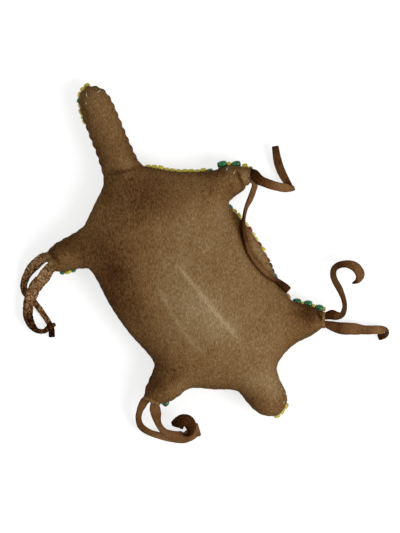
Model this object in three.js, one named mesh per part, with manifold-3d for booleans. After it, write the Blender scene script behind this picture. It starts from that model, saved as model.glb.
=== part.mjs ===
// A beaded turtle amulet: a small stuffed hide pouch in the shape of a turtle, belly up.
// It lies on its beaded back. Each leg ends in an open sleeve that holds two hide thongs.
// Millimetres. +Z comes up out of the belly, +Y runs to the head, and the origin is the
// middle of the shell on the table. Left and right are as seen in the photograph's view
// from above: the turtle's hind right leg is at -X, -Y.
import * as THREE from "three";
import Module from "manifold-3d";
import { ConvexHull } from "three/addons/math/ConvexHull.js";
import { LoftGeometry } from "three/addons/geometries/LoftGeometry.js";
import { mergeVertices } from "three/addons/utils/BufferGeometryUtils.js";

const wasm = await Module();
wasm.setup();

// Pouch: an ellipse for the shell, with limbs set on its rim
const shellLength = 89;
const shellWidth = 56.8;
const shellLean = 0.083; // how far the shell's middle line drifts sideways, per mm of length
const fullness = 1.85; // belly height at 1 mm in from the seam
const swell = 0.6; // power by which the height grows further in
const backShare = 0.85; // the beaded side is sewn flatter than the belly
const backDepth = 7.2; // deepest point of the back below the seam
const limbDroop = 1.3; // the limbs hang this much where they are one shell further out

// Beads and the gaps between pieces
const clearance = 0.3;
const laneBeadHeight = 2.0; // beads of the lanes, from the hide outwards
const laneWaist = 1.25; // the same between two rows
const laneRowPitch = 2.0;
const laneGap = 0.5;
const laneCount = 5;
const laneSide = 5.9; // from the shell's widest place in to the outer lanes
const laneWidth = (shellWidth - 2 * laneSide + laneGap) / laneCount - laneGap; // six beads
const laneMargin = 3; // bare hide between the lanes' corners and the seam
const laneStart = 0.5; // a limb's lane starts this far out of the shell
const laneEnd = 2.2; // and ends this far short of the limb's tip
const laneStand = 0.5; // the lanes' beads stand off the hide, also on its steep sides
const restFlat = 0.25; // the lowest beads are pressed level with the table by this much
const edgeBead = 2.0; // yellow beads that show along the seam
const edgeBeadPitch = 2.15;
const edgeOut = 0.15; // their string runs this far outside the seam
const edgeUnder = edgeBead / 2 + clearance + 0.95; // and this far below it
const greenBead = { across: 2.2, height: 2.4 };
const yellowBead = { across: 1.35, height: 1.9 };
const legRowGap = 0.22;
const legBeadPitch = 2.2; // along one row
const tuckedStart = 0.85; // how far round a leg its hidden rows start, in radians
const rowEnd = 2.15;
const shortRowEnd = 1.35; // where a row comes close to the shell's lanes
const beadWaist = 0.62; // width between two beads of a string, as a share of the bead's

// Thongs: strips cut from the same hide
const thongThickness = 1.1;
const sleeveDepth = 3.2; // how deep the thongs' roots sit in a leg
const rootInset = 0.5; // from the root to the bottom of the sleeve

// Mesh steps
const seamStep = 2.4;
const skinStep = 3.7;
const ringInsets = [0.3 * seamStep, 0.9 * seamStep]; // rings of points inside the seam

const hideColor = 0x7c6140;
const thongColor = 0x6a4a2c;
const yellowColor = 0xd8c93a;
const greenColor = 0x1f7a52;

// Each limb starts at an angle round the shell's rim and runs along its heading, in degrees.
// left and right list half widths as [distance out, half width], seen along the heading.
const limbs = {
  tail: {
    around: 267,
    proud: -0.2,
    heading: -96.7,
    length: 33,
    left: [[-1.5, 7.5], [7, 6], [17, 5.8], [27, 5.1], [30.8, 3.8]],
    right: [[-0.5, 7.8], [7, 6.8], [17, 6.6], [27, 6.1], [30.8, 4.4]],
  },
  head: {
    around: 91.6,
    proud: 0.3,
    heading: 93,
    length: 15,
    left: [[0, 8.6], [4.5, 7], [9, 6.6], [12.5, 5.1]],
    right: [[0, 8.2], [4.5, 7.4], [9, 6.5], [12.5, 4.6]],
  },
  hind_right: {
    around: 208.3,
    proud: 3.4,
    heading: 165.2,
    length: 10.9,
    rowReach: 5.5, // its rows reach this far to the right at most
    open: true,
    left: [[-1, 6], [5, 6.3], [10.9, 4.4]],
    right: [[4.6, 5.1], [8, 3.8], [10.9, 3]],
  },
  fore_right: {
    around: 139.4,
    proud: 3.1,
    heading: 149.7,
    length: 10.9,
    open: true,
    left: [[0, 5.7], [4.5, 4.5], [10.9, 2.6]],
    right: [[-2.4, 13.7], [1.8, 9.7], [6, 7.5], [10.9, 4.8]],
  },
  hind_left: {
    around: -35,
    proud: 1,
    heading: -8.8,
    length: 13.6,
    open: true,
    left: [[2, 7.4], [6, 6], [13.6, 4.9]],
    right: [[-2, 8], [2, 6.7], [7, 5.9], [13.6, 4.6]],
  },
  fore_left: {
    around: 36.5,
    proud: 2.9,
    heading: 25.9,
    length: 10.3,
    open: true,
    left: [[-0.5, 9], [4.5, 7.3], [10.3, 4.6]],
    right: [[-0.4, 6.3], [4.5, 4.8], [10.3, 3.7]],
  },
};

// Points of the shell's rim between two limbs: [angle, distance outside the ellipse]
const rim = {
  rear_right: [[245, -0.5], [230, 0.3]],
  right: [[200, 0.9], [185, 0.2], [170, 0.2], [155, 0.9]],
  front_left: [[62, 1.5]],
  left: [[25, 1.1], [10, 0.4], [-5, 0.3], [-20, 0.8]],
  rear_left: [[-50, 0.8], [-63, -0.8]],
};

const rad = THREE.MathUtils.degToRad;

// The seam line.

function shellPoint(angle, proud = 0) {
  const y = (shellLength / 2 + proud) * Math.sin(rad(angle));
  const x = (shellWidth / 2 + proud) * Math.cos(rad(angle)) - shellLean * y;
  return new THREE.Vector2(x, y);
}

for (const limb of Object.values(limbs)) {
  limb.root = shellPoint(limb.around, limb.proud);
  limb.ahead = new THREE.Vector2(Math.cos(rad(limb.heading)), Math.sin(rad(limb.heading)));
  limb.leftward = new THREE.Vector2(-limb.ahead.y, limb.ahead.x);
}

// A place given along a limb: so far out, and so far to its left.
function onLimb(limb, out, left = 0) {
  return limb.root.clone().addScaledVector(limb.ahead, out).addScaledVector(limb.leftward, left);
}

// The limb's part of the seam, right side outwards and left side back. An open sleeve is
// drawn a little too long here and cut off square later.
function limbSeam(limb) {
  const right = limb.right.map(([out, half]) => onLimb(limb, out, -half));
  const left = limb.left.map(([out, half]) => onLimb(limb, out, half)).reverse();
  if (!limb.open) return [...right, onLimb(limb, limb.length), ...left];
  const spare = 0.4 * limb.length;
  const half = (sides) => 0.8 * sides.at(-1)[1];
  return [
    ...right,
    onLimb(limb, limb.length + 0.6 * spare, -half(limb.right)),
    onLimb(limb, limb.length + spare),
    onLimb(limb, limb.length + 0.6 * spare, half(limb.left)),
    ...left,
  ];
}

const rimSeam = (name) => rim[name].map(([angle, proud]) => shellPoint(angle, proud));

// Counterclockwise seen from above, starting at the head.
const seamKnots = [
  ...limbSeam(limbs.head),
  ...limbSeam(limbs.fore_right),
  ...rimSeam("right").reverse(),
  ...limbSeam(limbs.hind_right),
  ...rimSeam("rear_right").reverse(),
  ...limbSeam(limbs.tail),
  ...rimSeam("rear_left").reverse(),
  ...limbSeam(limbs.hind_left),
  ...rimSeam("left").reverse(),
  ...limbSeam(limbs.fore_left),
  ...rimSeam("front_left"),
];

const seamCurve = new THREE.CatmullRomCurve3(
  seamKnots.map((p) => new THREE.Vector3(p.x, p.y, 0)),
  true,
  "centripetal",
);
seamCurve.arcLengthDivisions = 2000;
const seam = seamCurve
  .getSpacedPoints(Math.round(seamCurve.getLength() / seamStep))
  .slice(0, -1)
  .map((p) => new THREE.Vector2(p.x, p.y));

function insideSeam(p) {
  let inside = false;
  seam.forEach((a, i) => {
    const b = seam[(i + 1) % seam.length];
    if (a.y > p.y === b.y > p.y) return;
    if (p.x < a.x + ((p.y - a.y) / (b.y - a.y)) * (b.x - a.x)) inside = !inside;
  });
  return inside;
}

// Heights of the stuffed pouch.

// A smooth distance from the seam. Each stretch of seam ds at distance r adds ds / r^3,
// and a straight seam at distance d adds up to 2 / d^2.
function depthInside(p) {
  let sum = 0;
  seam.forEach((a, i) => {
    const b = seam[(i + 1) % seam.length];
    const along = b.clone().sub(a);
    const length = along.length();
    along.divideScalar(length);
    const start = a.clone().sub(p).dot(along);
    const offset = Math.max(Math.abs(a.clone().sub(p).cross(along)), 1e-4);
    const part = (s) => s / (offset * offset * Math.hypot(offset, s));
    sum += part(start + length) - part(start);
  });
  return Math.sqrt(2 / sum);
}

const seamHeight = backDepth + laneStand + laneBeadHeight - restFlat;

function seamZ(p) {
  const reach = (2 * p.x / shellWidth) ** 2 + (2 * p.y / shellLength) ** 2;
  return seamHeight - limbDroop * Math.max(0, reach - 1);
}

const crown = (p) => fullness * depthInside(p) ** swell;

const bellyZ = (p) => seamZ(p) + crown(p);

// The back bulges like the belly but flattens out where it rests.
function backZ(p) {
  const free = backShare * crown(p);
  return seamZ(p) - free / (1 + (free / backDepth) ** 8) ** (1 / 8);
}

// Turning geometry into solids.

function toSolid(geometry) {
  const bare = new THREE.BufferGeometry();
  bare.setAttribute("position", geometry.getAttribute("position"));
  if (geometry.index) bare.setIndex(geometry.index);
  const merged = mergeVertices(bare, 1e-3);
  return new wasm.Manifold(
    new wasm.Mesh({
      numProp: 3,
      vertProperties: merged.attributes.position.array,
      triVerts: new Uint32Array(merged.index.array),
    }),
  );
}

function toGeometry(solid) {
  const mesh = solid.getMesh();
  const geometry = new THREE.BufferGeometry();
  geometry.setAttribute("position", new THREE.BufferAttribute(mesh.vertProperties, 3));
  geometry.setIndex(new THREE.BufferAttribute(mesh.triVerts, 1));
  return geometry;
}

const amulet = new THREE.Group();

function addPiece(name, geometry, color, roughness) {
  geometry.computeVertexNormals();
  const material = new THREE.MeshStandardMaterial({ color, roughness, metalness: 0 });
  const mesh = new THREE.Mesh(geometry, material);
  mesh.name = name;
  amulet.add(mesh);
}

const loft = (sections) => new LoftGeometry(sections, { capStart: true, capEnd: true });

// The pouch.

// Delaunay triangles of points in the plane: the underside of the hull of the points
// lifted onto a paraboloid.
function triangulate(points) {
  const lifted = points.map((p) => new THREE.Vector3(p.x, p.y, (p.x ** 2 + p.y ** 2) / 100));
  const order = new Map(lifted.map((p, i) => [p, i]));
  const hull = new ConvexHull().setFromPoints(lifted);
  const corner = (face, i) => order.get(face.getEdge(i).head().point);
  return hull.faces
    .filter((face) => face.normal.z < 0)
    .map((face) => [corner(face, 0), corner(face, 2), corner(face, 1)]);
}

function pouchGeometry() {
  const points = seam.map((p) => p.clone());
  const count = seam.length;
  // Two rings just inside the seam carry the steep sides.
  for (const inset of ringInsets) {
    seam.forEach((p, i) => {
      const before = seam[(i + count - 1) % count];
      const after = seam[(i + 1) % count];
      const along = after.clone().sub(before).normalize();
      const place = p.clone().add(new THREE.Vector2(-along.y, along.x).multiplyScalar(inset));
      if (insideSeam(place) && clearOf(points, place, 0.62 * inset)) points.push(place);
    });
  }
  const reachX = shellWidth;
  const reachY = shellLength;
  const rowStep = skinStep * Math.sqrt(0.75);
  for (let j = -Math.ceil(reachY / rowStep); j <= reachY / rowStep; j++) {
    for (let i = -Math.ceil(reachX / skinStep); i <= reachX / skinStep; i++) {
      // The small sines keep any four points off one circle.
      const x = (i + (j % 2 ? 0.5 : 0)) * skinStep + 0.05 * Math.sin(7 * i + 3 * j);
      const place = new THREE.Vector2(x, j * rowStep + 0.05 * Math.sin(5 * i - 4 * j));
      if (insideSeam(place) && clearOf(points, place, 0.6 * skinStep)) points.push(place);
    }
  }
  const flat = triangulate(points).filter((corners) => {
    const middle = new THREE.Vector2();
    corners.forEach((k) => middle.add(points[k]));
    return insideSeam(middle.divideScalar(3));
  });
  const vertex = (k, top) => {
    const p = points[k];
    if (k < count) return [p.x, p.y, seamZ(p)];
    return [p.x, p.y, top ? bellyZ(p) : backZ(p)];
  };
  const positions = [];
  for (const [a, b, c] of flat) {
    positions.push(...vertex(a, true), ...vertex(b, true), ...vertex(c, true));
    positions.push(...vertex(a, false), ...vertex(c, false), ...vertex(b, false));
  }
  const geometry = new THREE.BufferGeometry();
  geometry.setAttribute("position", new THREE.Float32BufferAttribute(positions, 3));
  return geometry;
}

function clearOf(points, place, distance) {
  return points.every((p) => p.distanceTo(place) > distance);
}

// A box that lies along a limb from one distance out to another.
function limbBox(limb, from, to, width, height, left, z) {
  const box = new THREE.BoxGeometry(to - from, width, height);
  const middle = onLimb(limb, (from + to) / 2, left);
  box.rotateZ(rad(limb.heading));
  box.translate(middle.x, middle.y, z);
  return toSolid(box);
}

// The thongs.

// Each thong is [distance out of the sleeve, distance to the limb's left, height, width,
// twist in degrees]. Height 1 is the sleeve's, and 0 lies on the table.
const thongs = {
  hind_right: {
    long: [
      [2.4, 1.25, 1.32, 2.6, 0],
      [3.7, -1.3, 1.05, 3.4, 0],
      [5.7, -2.9, 0.92, 3.4, 0],
      [8.9, -4.9, 0.75, 3.2, 0],
      [12.4, -6.5, 0.6, 3.1, -5],
      [14.9, -7.3, 0.5, 2.2, -60],
      [14.4, -6.2, 0.32, 2, -120],
      [13.1, -3.6, 0.2, 2.9, -175],
      [12.1, 0.6, 0.25, 3, -180],
      [11.9, 4.3, 0.35, 2.8, -180],
      [12.2, 8.2, 0.45, 2.5, -180],
    ],
    flank: [
      [1.5, -1.4, 0.95, 2, 0],
      [1.7, -2.8, 0.78, 2.2, 10],
      [0.8, -4.5, 0.66, 2.4, 28],
      [-0.9, -6.9, 0.88, 2.5, 40],
      [-3.2, -9.7, 1.2, 2.2, 60],
      [-4.9, -13, 1.33, 2.1, 70],
      [-6, -16.1, 1.3, 2.3, 60],
      [-6.4, -20, 1.3, 2.3, 60],
      [-6.4, -24.3, 1.3, 2.3, 60],
      [-5.4, -28.4, 1.3, 2.3, 60],
      [-3.7, -32, 1.3, 2.4, 55],
      [-1.7, -35.1, 1.3, 2.5, 50],
      [0.8, -38, 1.3, 2.8, 45],
      [3.2, -40.8, 1.3, 3, 35],
      [4.4, -42.6, 1.28, 3, 30],
    ],
  },
  fore_right: {
    curl: [
      [3.4, 0.9, 1.1, 3.1, 5],
      [5.6, 0.6, 1.05, 3.1, 25],
      [7.3, 1.1, 1, 2.6, 50],
      [8.1, 3.8, 1, 2.6, 60],
      [7.7, 6.3, 1, 2.7, 55],
      [6.8, 8.7, 1, 2.8, 50],
      [5.7, 10.9, 1, 2.9, 45],
      [4.4, 13.1, 1, 2.9, 45],
      [3.7, 15.2, 1, 2.8, 45],
      [3.9, 17.3, 1, 2.8, 45],
      [5.4, 18.7, 1.03, 2.9, 40],
      [7.8, 19.3, 1.06, 3, 30],
      [10.1, 19, 1.1, 3.4, 20],
      [12, 17.9, 1.13, 3.7, 15],
      [13.3, 15.6, 1.15, 3.6, 20],
      [12.5, 13.4, 1.15, 2.8, 50],
      [10.5, 12.4, 1.12, 1.9, 100],
    ],
    straight: [
      [3.6, -3.1, 0.72, 3.6, 0],
      [7.1, -3.9, 0.52, 4.3, 0],
      [11.6, -4, 0.45, 4.2, 0],
      [16.1, -4.3, 0.4, 3.4, 0],
      [20.6, -4.1, 0.42, 3, -10],
      [23.5, -4.4, 0.38, 2.2, -70],
      [23.4, -5.8, 0.26, 2, -110],
      [22, -6.6, 0.12, 2.2, -170],
      [20.4, -7.1, 0.08, 2.2, -180],
    ],
  },
  hind_left: {
    outer: [
      [2.6, -2, 0.78, 3.8, 0],
      [5.4, -1, 0.6, 3.9, 0],
      [8.8, 0.7, 0.4, 3.4, 0],
      [11.3, 2.9, 0.2, 2.8, 0],
      [12.8, 5.1, 0.08, 2.4, 0],
      [13.1, 7.6, 0.02, 2.3, 0],
      [12, 10.1, 0.02, 2.2, 0],
      [10.8, 12.9, 0.02, 2.2, 0],
      [9.8, 16.3, 0.02, 2.1, 0],
      [8.9, 19.8, 0.02, 2, 0],
      [8.7, 23, 0.02, 2.1, 0],
      [9.5, 26, 0.02, 2.2, 0],
    ],
    inner: [
      [2.6, 3, 0.95, 4.2, 0],
      [4.9, 4.7, 0.85, 4.5, 0],
      [8.1, 6.4, 0.7, 4.5, 0],
      [11.1, 9.1, 0.55, 4.4, 0],
      [13.4, 12.1, 0.45, 3.9, 0],
      [14.8, 15.4, 0.4, 3.5, 0],
      [14.9, 18.8, 0.35, 3, 10],
      [13.7, 21.8, 0.3, 1.9, 20],
      [11.4, 22.9, 0.32, 1.8, 10],
      [9, 22.2, 0.3, 2.1, 0],
      [6.6, 21.9, 0.25, 1.3, 0],
    ],
  },
  fore_left: {
    outer: [
      [2.2, -1.5, 0.9, 2.9, 5],
      [3.9, -1.3, 0.82, 3, 10],
      [6, -0.9, 0.7, 2.6, 30],
      [8.4, 0.2, 0.5, 2.5, 35],
      [10.3, 2.4, 0.35, 2.5, 30],
      [10.6, 5.8, 0.2, 2.4, 10],
      [9.5, 9.8, 0.08, 2.4, 0],
      [7.6, 14, 0.04, 2.8, 0],
      [4.9, 17.9, 0.04, 3, 0],
      [2.3, 20, 0.06, 3.2, 0],
      [0.5, 20.7, 0.08, 4.2, 0],
    ],
    scroll: [
      [2.2, 3.2, 0.95, 3.2, 0],
      [3.6, 4.7, 0.88, 3, 0],
      [4.6, 5.5, 0.75, 2.6, -10],
      [6.3, 7.8, 0.65, 2.4, -20],
      [7.1, 10.7, 0.55, 2.8, -35],
      [6.6, 13.6, 0.5, 3.6, -35],
      [5.3, 16.4, 0.52, 4.2, -30],
      [3.4, 18.4, 0.6, 4.3, -45],
      [1.1, 18.6, 0.75, 4.2, -85],
      [-0.5, 17.2, 0.87, 4.6, -120],
      [-0.6, 15.1, 0.97, 5, -142],
      [0.6, 13.3, 1.02, 4.6, -148],
      [2.1, 12, 1.04, 3, -150],
      [3.3, 11.2, 1.04, 1.7, -150],
    ],
  },
};

const sleeveCentre = (limb) => onLimb(limb, limb.length);

// Where a thong's root sits across its sleeve: the two lie side by side.
function rootSide(limb, name) {
  const pair = Object.entries(thongs[limb.name]);
  const side = (rootWidth(limb) + clearance) / 2;
  const firstIsRight = pair[0][1][0][1] < pair[1][1][0][1];
  const isFirst = pair[0][0] === name;
  return isFirst === firstIsRight ? -side : side;
}

function sleeveWidth(limb) {
  return limb.left.at(-1)[1] + limb.right.at(-1)[1] - 2;
}

// How far the middle of a leg's mouth lies to the left of the leg's axis.
const mouthLeft = (limb) => (limb.left.at(-1)[1] - limb.right.at(-1)[1]) / 2;

const rootWidth = (limb) => (sleeveWidth(limb) - 3 * clearance) / 2;

const sleeveZ = (limb) => seamZ(sleeveCentre(limb));

function thongStations(limb, name) {
  const route = thongs[limb.name][name];
  const width = rootWidth(limb);
  const left = mouthLeft(limb) + rootSide(limb, name);
  const half = thongThickness / 2;
  const rootOut = rootInset - sleeveDepth;
  const straight = [rootOut, 0, 0.8].map((out) => [out, left, 1, width, 0]);
  const knots = [...straight, ...route];
  const top = sleeveZ(limb);
  const points = knots.map(([out, side, height, w, twist]) => {
    const p = onLimb(limb, limb.length + out, side);
    const tilt = Math.abs(Math.sin(rad(twist)));
    const standing = half + (w / 2 - half) * tilt;
    let z = Math.max(standing, half + (top - half) * height);
    if (out < -1 && side < -5 && insideSeam(p)) z = bellyZ(p) + clearance + 0.5 * standing;
    return new THREE.Vector3(p.x, p.y, z);
  });
  const curve = new THREE.CatmullRomCurve3(points, false, "centripetal");
  const steps = 3 * (knots.length - 1);
  const stations = [];
  for (let i = 0; i <= steps; i++) {
    const t = i / steps;
    const at = Math.min(Math.floor(t * (knots.length - 1)), knots.length - 2);
    const share = t * (knots.length - 1) - at;
    const mix = (column) =>
      THREE.MathUtils.lerp(knots[at][column], knots[at + 1][column], share);
    stations.push({
      centre: curve.getPoint(t),
      forward: curve.getTangent(t),
      width: mix(3),
      twist: rad(mix(4)),
    });
  }
  return stations;
}

// A strip with a rectangular section. grow widens it all round, to cut room for it.
function thongGeometry(limb, name, grow = 0) {
  const stations = thongStations(limb, name);
  stations[0].centre.addScaledVector(stations[0].forward, -grow);
  stations.at(-1).centre.addScaledVector(stations.at(-1).forward, grow);
  const sections = stations.map(({ centre, forward, width, twist }) => {
    const side = new THREE.Vector3(forward.y, -forward.x, 0).normalize();
    const up = new THREE.Vector3().crossVectors(side, forward).normalize();
    const wide = side.clone().multiplyScalar(Math.cos(twist));
    wide.addScaledVector(up, Math.sin(twist));
    const thick = new THREE.Vector3().crossVectors(wide, forward).normalize();
    wide.multiplyScalar(width / 2 + grow);
    thick.multiplyScalar(thongThickness / 2 + grow);
    return [[1, -1], [-1, -1], [-1, 1], [1, 1]].map(([a, b]) =>
      centre.clone().addScaledVector(wide, a).addScaledVector(thick, b),
    );
  });
  return loft(sections);
}

// The beadwork.

// Distance from a limb's axis to the seam, on its left (+1) or right (-1).
function halfWidth(limb, out, side) {
  let near = 0;
  let far = 0.5 * shellWidth;
  for (let d = 0; d < far; d += 0.5) {
    if (!insideSeam(onLimb(limb, out, side * d))) far = d;
    else near = d;
  }
  for (let k = 0; k < 12; k++) {
    const d = (near + far) / 2;
    if (insideSeam(onLimb(limb, out, side * d))) near = d;
    else far = d;
  }
  return near;
}

// The limb's section under the seam at a distance out, from its left edge (0) round the
// back to its right edge (pi), pushed away from the hide by a distance.
function aroundBack(limb, out, away) {
  const left = halfWidth(limb, out, 1);
  const right = Math.min(halfWidth(limb, out, -1), limb.rowReach ?? Infinity);
  const skin = (angle) => {
    const turn = THREE.MathUtils.clamp(angle, 0.02, Math.PI - 0.02);
    const side = (left - right) / 2 + ((left + right) / 2) * Math.cos(turn);
    const p = onLimb(limb, out, side);
    return new THREE.Vector3(p.x, p.y, backZ(p));
  };
  return (angle) => {
    const along = skin(angle + 0.06).sub(skin(angle - 0.06)).normalize();
    const ahead = new THREE.Vector3(limb.ahead.x, limb.ahead.y, 0);
    const outward = new THREE.Vector3().crossVectors(ahead, along).normalize();
    return { point: skin(angle).addScaledVector(outward, away), along, outward, ahead };
  };
}

// One string of beads: a six-sided body that swells at each bead and narrows between.
function stringGeometry(path, pitch, across, height) {
  const count = Math.max(2, Math.round(path.length / pitch));
  const sections = [];
  for (let i = 0; i <= 2 * count; i++) {
    const size = i % 2 ? 1 : beadWaist;
    const { point, wide, outward } = path.at(i / (2 * count));
    sections.push(
      [0, 1, 2, 3, 4, 5].map((k) => {
        const angle = (k * Math.PI) / 3;
        return point
          .clone()
          .addScaledVector(wide, (size * across * Math.cos(angle)) / 2)
          .addScaledVector(outward, (size * height * Math.sin(angle)) / 2);
      }),
    );
  }
  return loft(sections);
}

// A row of a leg's beadwork: it runs round the back of the leg between two angles.
function legRow(limb, out, bead, from, to) {
  const at = aroundBack(limb, out, clearance + bead.height / 2);
  const fine = 60;
  const lengths = [0];
  for (let i = 1; i <= fine; i++) {
    const a = at(THREE.MathUtils.lerp(from, to, (i - 1) / fine)).point;
    const b = at(THREE.MathUtils.lerp(from, to, i / fine)).point;
    lengths.push(lengths.at(-1) + a.distanceTo(b));
  }
  const angleAt = (share) => {
    const wanted = share * lengths.at(-1);
    const i = Math.min(Math.max(lengths.findIndex((l) => l >= wanted), 1), fine);
    const part = (wanted - lengths[i - 1]) / (lengths[i] - lengths[i - 1]);
    return THREE.MathUtils.lerp(from, to, (i - 1 + part) / fine);
  };
  const path = {
    length: lengths.at(-1),
    at: (share) => {
      const { point, outward, ahead } = at(angleAt(share));
      return { point, outward, wide: ahead.negate() };
    },
  };
  return stringGeometry(path, legBeadPitch, bead.across, bead.height);
}

// A lane over a limb's back: rows of beads that run across it, sewn side by side. It leaves
// the same angle free at both edges, which grows by the taper towards the tip.
function limbLane(limb, free, taper = 0) {
  const last = limb.length - laneEnd;
  const rows = Math.round((last - laneStart) / laneRowPitch);
  const sections = [];
  for (let i = 0; i <= 2 * rows; i++) {
    const share = i / (2 * rows);
    const out = THREE.MathUtils.lerp(laneStart, last, share);
    const from = free + taper * share;
    const thickness = i % 2 ? laneBeadHeight : laneWaist;
    const angles = [0, 1, 2, 3].map((k) => THREE.MathUtils.lerp(from, Math.PI - from, k / 3));
    const inner = angles.map((angle) => aroundBack(limb, out, laneStand)(angle).point);
    const outer = angles.map(
      (angle) => aroundBack(limb, out, laneStand + thickness)(angle).point,
    );
    sections.push([...inner, ...outer.reverse()]);
  }
  return loft(sections);
}

// How far a lane reaches from the middle of the shell before it comes too near the seam.
function laneReach(x, direction) {
  const tooNear = (y) => {
    const p = new THREE.Vector2(x - shellLean * y, y);
    return !insideSeam(p) || depthInside(p) < laneMargin;
  };
  let y = 0;
  while (!tooNear(y + direction * laneRowPitch)) y += direction * laneRowPitch;
  const most = 0.5 * shellLength - 2 * laneMargin;
  return direction * Math.min(Math.abs(y), most);
}

// A lane of the shell: it runs lengthwise, and its rows of six beads lie across it.
function shellLane(index) {
  const offset = (index - (laneCount - 1) / 2) * (laneWidth + laneGap);
  const edges = [offset - laneWidth / 2, offset + laneWidth / 2];
  const end = Math.min(...edges.map((x) => laneReach(x, 1)));
  const start = Math.max(...edges.map((x) => laneReach(x, -1)));
  const rows = Math.round((end - start) / laneRowPitch);
  const across = 3;
  // A row is a waist and a crest. The middle lane's crests are level, to stand on.
  const crest = offset === 0 ? [0.35, 0.65] : [0.5];
  const steps = [];
  for (let row = 0; row < rows; row++) {
    steps.push([row, laneWaist], ...crest.map((part) => [row + part, laneBeadHeight]));
  }
  steps.push([rows, laneWaist]);
  const sections = steps.map(([row, thickness]) => {
    const y = THREE.MathUtils.lerp(start, end, row / rows);
    const place = (k, away) => {
      const x = THREE.MathUtils.lerp(edges[0], edges[1], k / (across - 1)) - shellLean * y;
      const skin = backZ(new THREE.Vector2(x, y));
      return new THREE.Vector3(x, y, Math.max(0, skin - laneStand - away));
    };
    const ks = [...Array(across).keys()];
    const inner = ks.map((k) => place(k, 0));
    const outer = ks.map((k) => place(k, thickness)).reverse();
    return [...inner, ...outer];
  });
  return loft(sections);
}

// A string of beads along the seam, just below it, between two shell angles.
function seamString(points) {
  const curve = new THREE.CatmullRomCurve3(points, false, "centripetal");
  const path = {
    length: curve.getLength(),
    at: (share) => {
      const forward = curve.getTangentAt(share);
      const up = new THREE.Vector3(0, 0, 1);
      const wide = new THREE.Vector3().crossVectors(forward, up).normalize();
      return {
        point: curve.getPointAt(share),
        wide,
        outward: new THREE.Vector3().crossVectors(forward, wide),
      };
    },
  };
  return stringGeometry(path, edgeBeadPitch, edgeBead, edgeBead);
}

// Points beside the seam between two places along it.
function besideSeam(from, to, outside, below) {
  const near = (target) => {
    const distances = seam.map((p) => p.distanceTo(target));
    return distances.indexOf(Math.min(...distances));
  };
  const first = near(from);
  const last = near(to);
  const points = [];
  for (let i = first; i !== last; i = (i + 1) % seam.length) {
    const before = seam[(i + seam.length - 1) % seam.length];
    const after = seam[(i + 1) % seam.length];
    const along = after.clone().sub(before).normalize();
    const p = seam[i].clone().add(new THREE.Vector2(along.y, -along.x).multiplyScalar(outside));
    points.push(new THREE.Vector3(p.x, p.y, seamZ(seam[i]) - below));
  }
  return points;
}

// Putting the pieces together.

for (const [name, limb] of Object.entries(limbs)) limb.name = name;

let pouch = toSolid(pouchGeometry());
for (const limb of Object.values(limbs).filter((each) => each.open)) {
  const z = sleeveZ(limb);
  const sleeveHeight = thongThickness + 2 * clearance;
  const spare = limb.length;
  const width = sleeveWidth(limb);
  const end = limbBox(limb, limb.length, limb.length + spare, 3 * width, 3 * seamHeight, 0, z);
  const left = mouthLeft(limb);
  const bottom = limb.length - sleeveDepth;
  const sleeve = limbBox(limb, bottom, limb.length + 1, width, sleeveHeight, left, z);
  pouch = pouch.subtract(end).subtract(sleeve);
}
// The thong that lies along the flank presses into the hide at the leg.
pouch = pouch.subtract(toSolid(thongGeometry(limbs.hind_right, "flank", 1.3 * clearance)));
addPiece("hide_pouch", toGeometry(pouch), hideColor, 0.95);

for (const [leg, pair] of Object.entries(thongs)) {
  for (const name of Object.keys(pair)) {
    addPiece(`thong_${leg}_${name}`, thongGeometry(limbs[leg], name), thongColor, 0.95);
  }
}

for (let i = 0; i < laneCount; i++) {
  addPiece(`bead_lane_shell_${i + 1}`, shellLane(i), yellowColor, 0.35);
}

const tailLane = limbLane(limbs.tail, 0.8, 0.35);
const headLane = limbLane(limbs.head, 0.8);
addPiece("bead_lane_tail", tailLane, yellowColor, 0.35);
addPiece("bead_lane_head", headLane, yellowColor, 0.35);

// Along the right flank, the shoulder behind it and the tail's left edge the beads reach
// round the seam.
const edgeStrings = {
  right_flank: [onLimb(limbs.fore_right, -1, 6), shellPoint(202)],
  rear_right: [onLimb(limbs.hind_right, -0.8, 6), shellPoint(252)],
  tail_tip: [onLimb(limbs.tail, 33, -1.5), onLimb(limbs.tail, 20.5, 6)],
};
for (const [name, [from, to]] of Object.entries(edgeStrings)) {
  const string = seamString(besideSeam(from, to, edgeOut, edgeUnder));
  addPiece(`bead_string_${name}`, string, yellowColor, 0.3);
}

// The legs' rows alternate green and yellow. They start near the edge that shows, so many
// radians round from it, and end out of sight under the leg. The rows listed as tucked start
// further round, out of sight too.
const legRows = {
  hind_right: { first: 3, spread: 0.4, start: 0.05, tucked: 0 },
  fore_right: { first: 1.8, spread: 0, start: 0.3, tucked: 0 },
  hind_left: { first: 3.4, spread: 0, start: 0.6, tucked: 2 },
  fore_left: { first: 0.6, spread: 0, start: 0.5, tucked: 4 },
};
for (const [leg, { first, spread, start, tucked }] of Object.entries(legRows)) {
  const limb = limbs[leg];
  const pitch = (greenBead.across + yellowBead.across) / 2 + legRowGap + spread;
  for (let i = 0; ; i++) {
    const out = first + i * pitch;
    const green = i % 2 === 0;
    const bead = green ? greenBead : yellowBead;
    if (out + bead.across / 2 > limb.length) break;
    const name = `bead_row_${leg}_${green ? "green" : "yellow"}_${Math.floor(i / 2) + 1}`;
    const color = green ? greenColor : yellowColor;
    const from = i < tucked ? tuckedStart : start;
    const to = out < greenBead.across ? shortRowEnd : rowEnd;
    addPiece(name, legRow(limb, out, bead, from, to), color, 0.3);
  }
}

export default amulet;
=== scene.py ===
import math

import bmesh
import bpy
import numpy as np
from mathutils import Matrix
from mathutils.geometry import delaunay_2d_cdt


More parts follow.
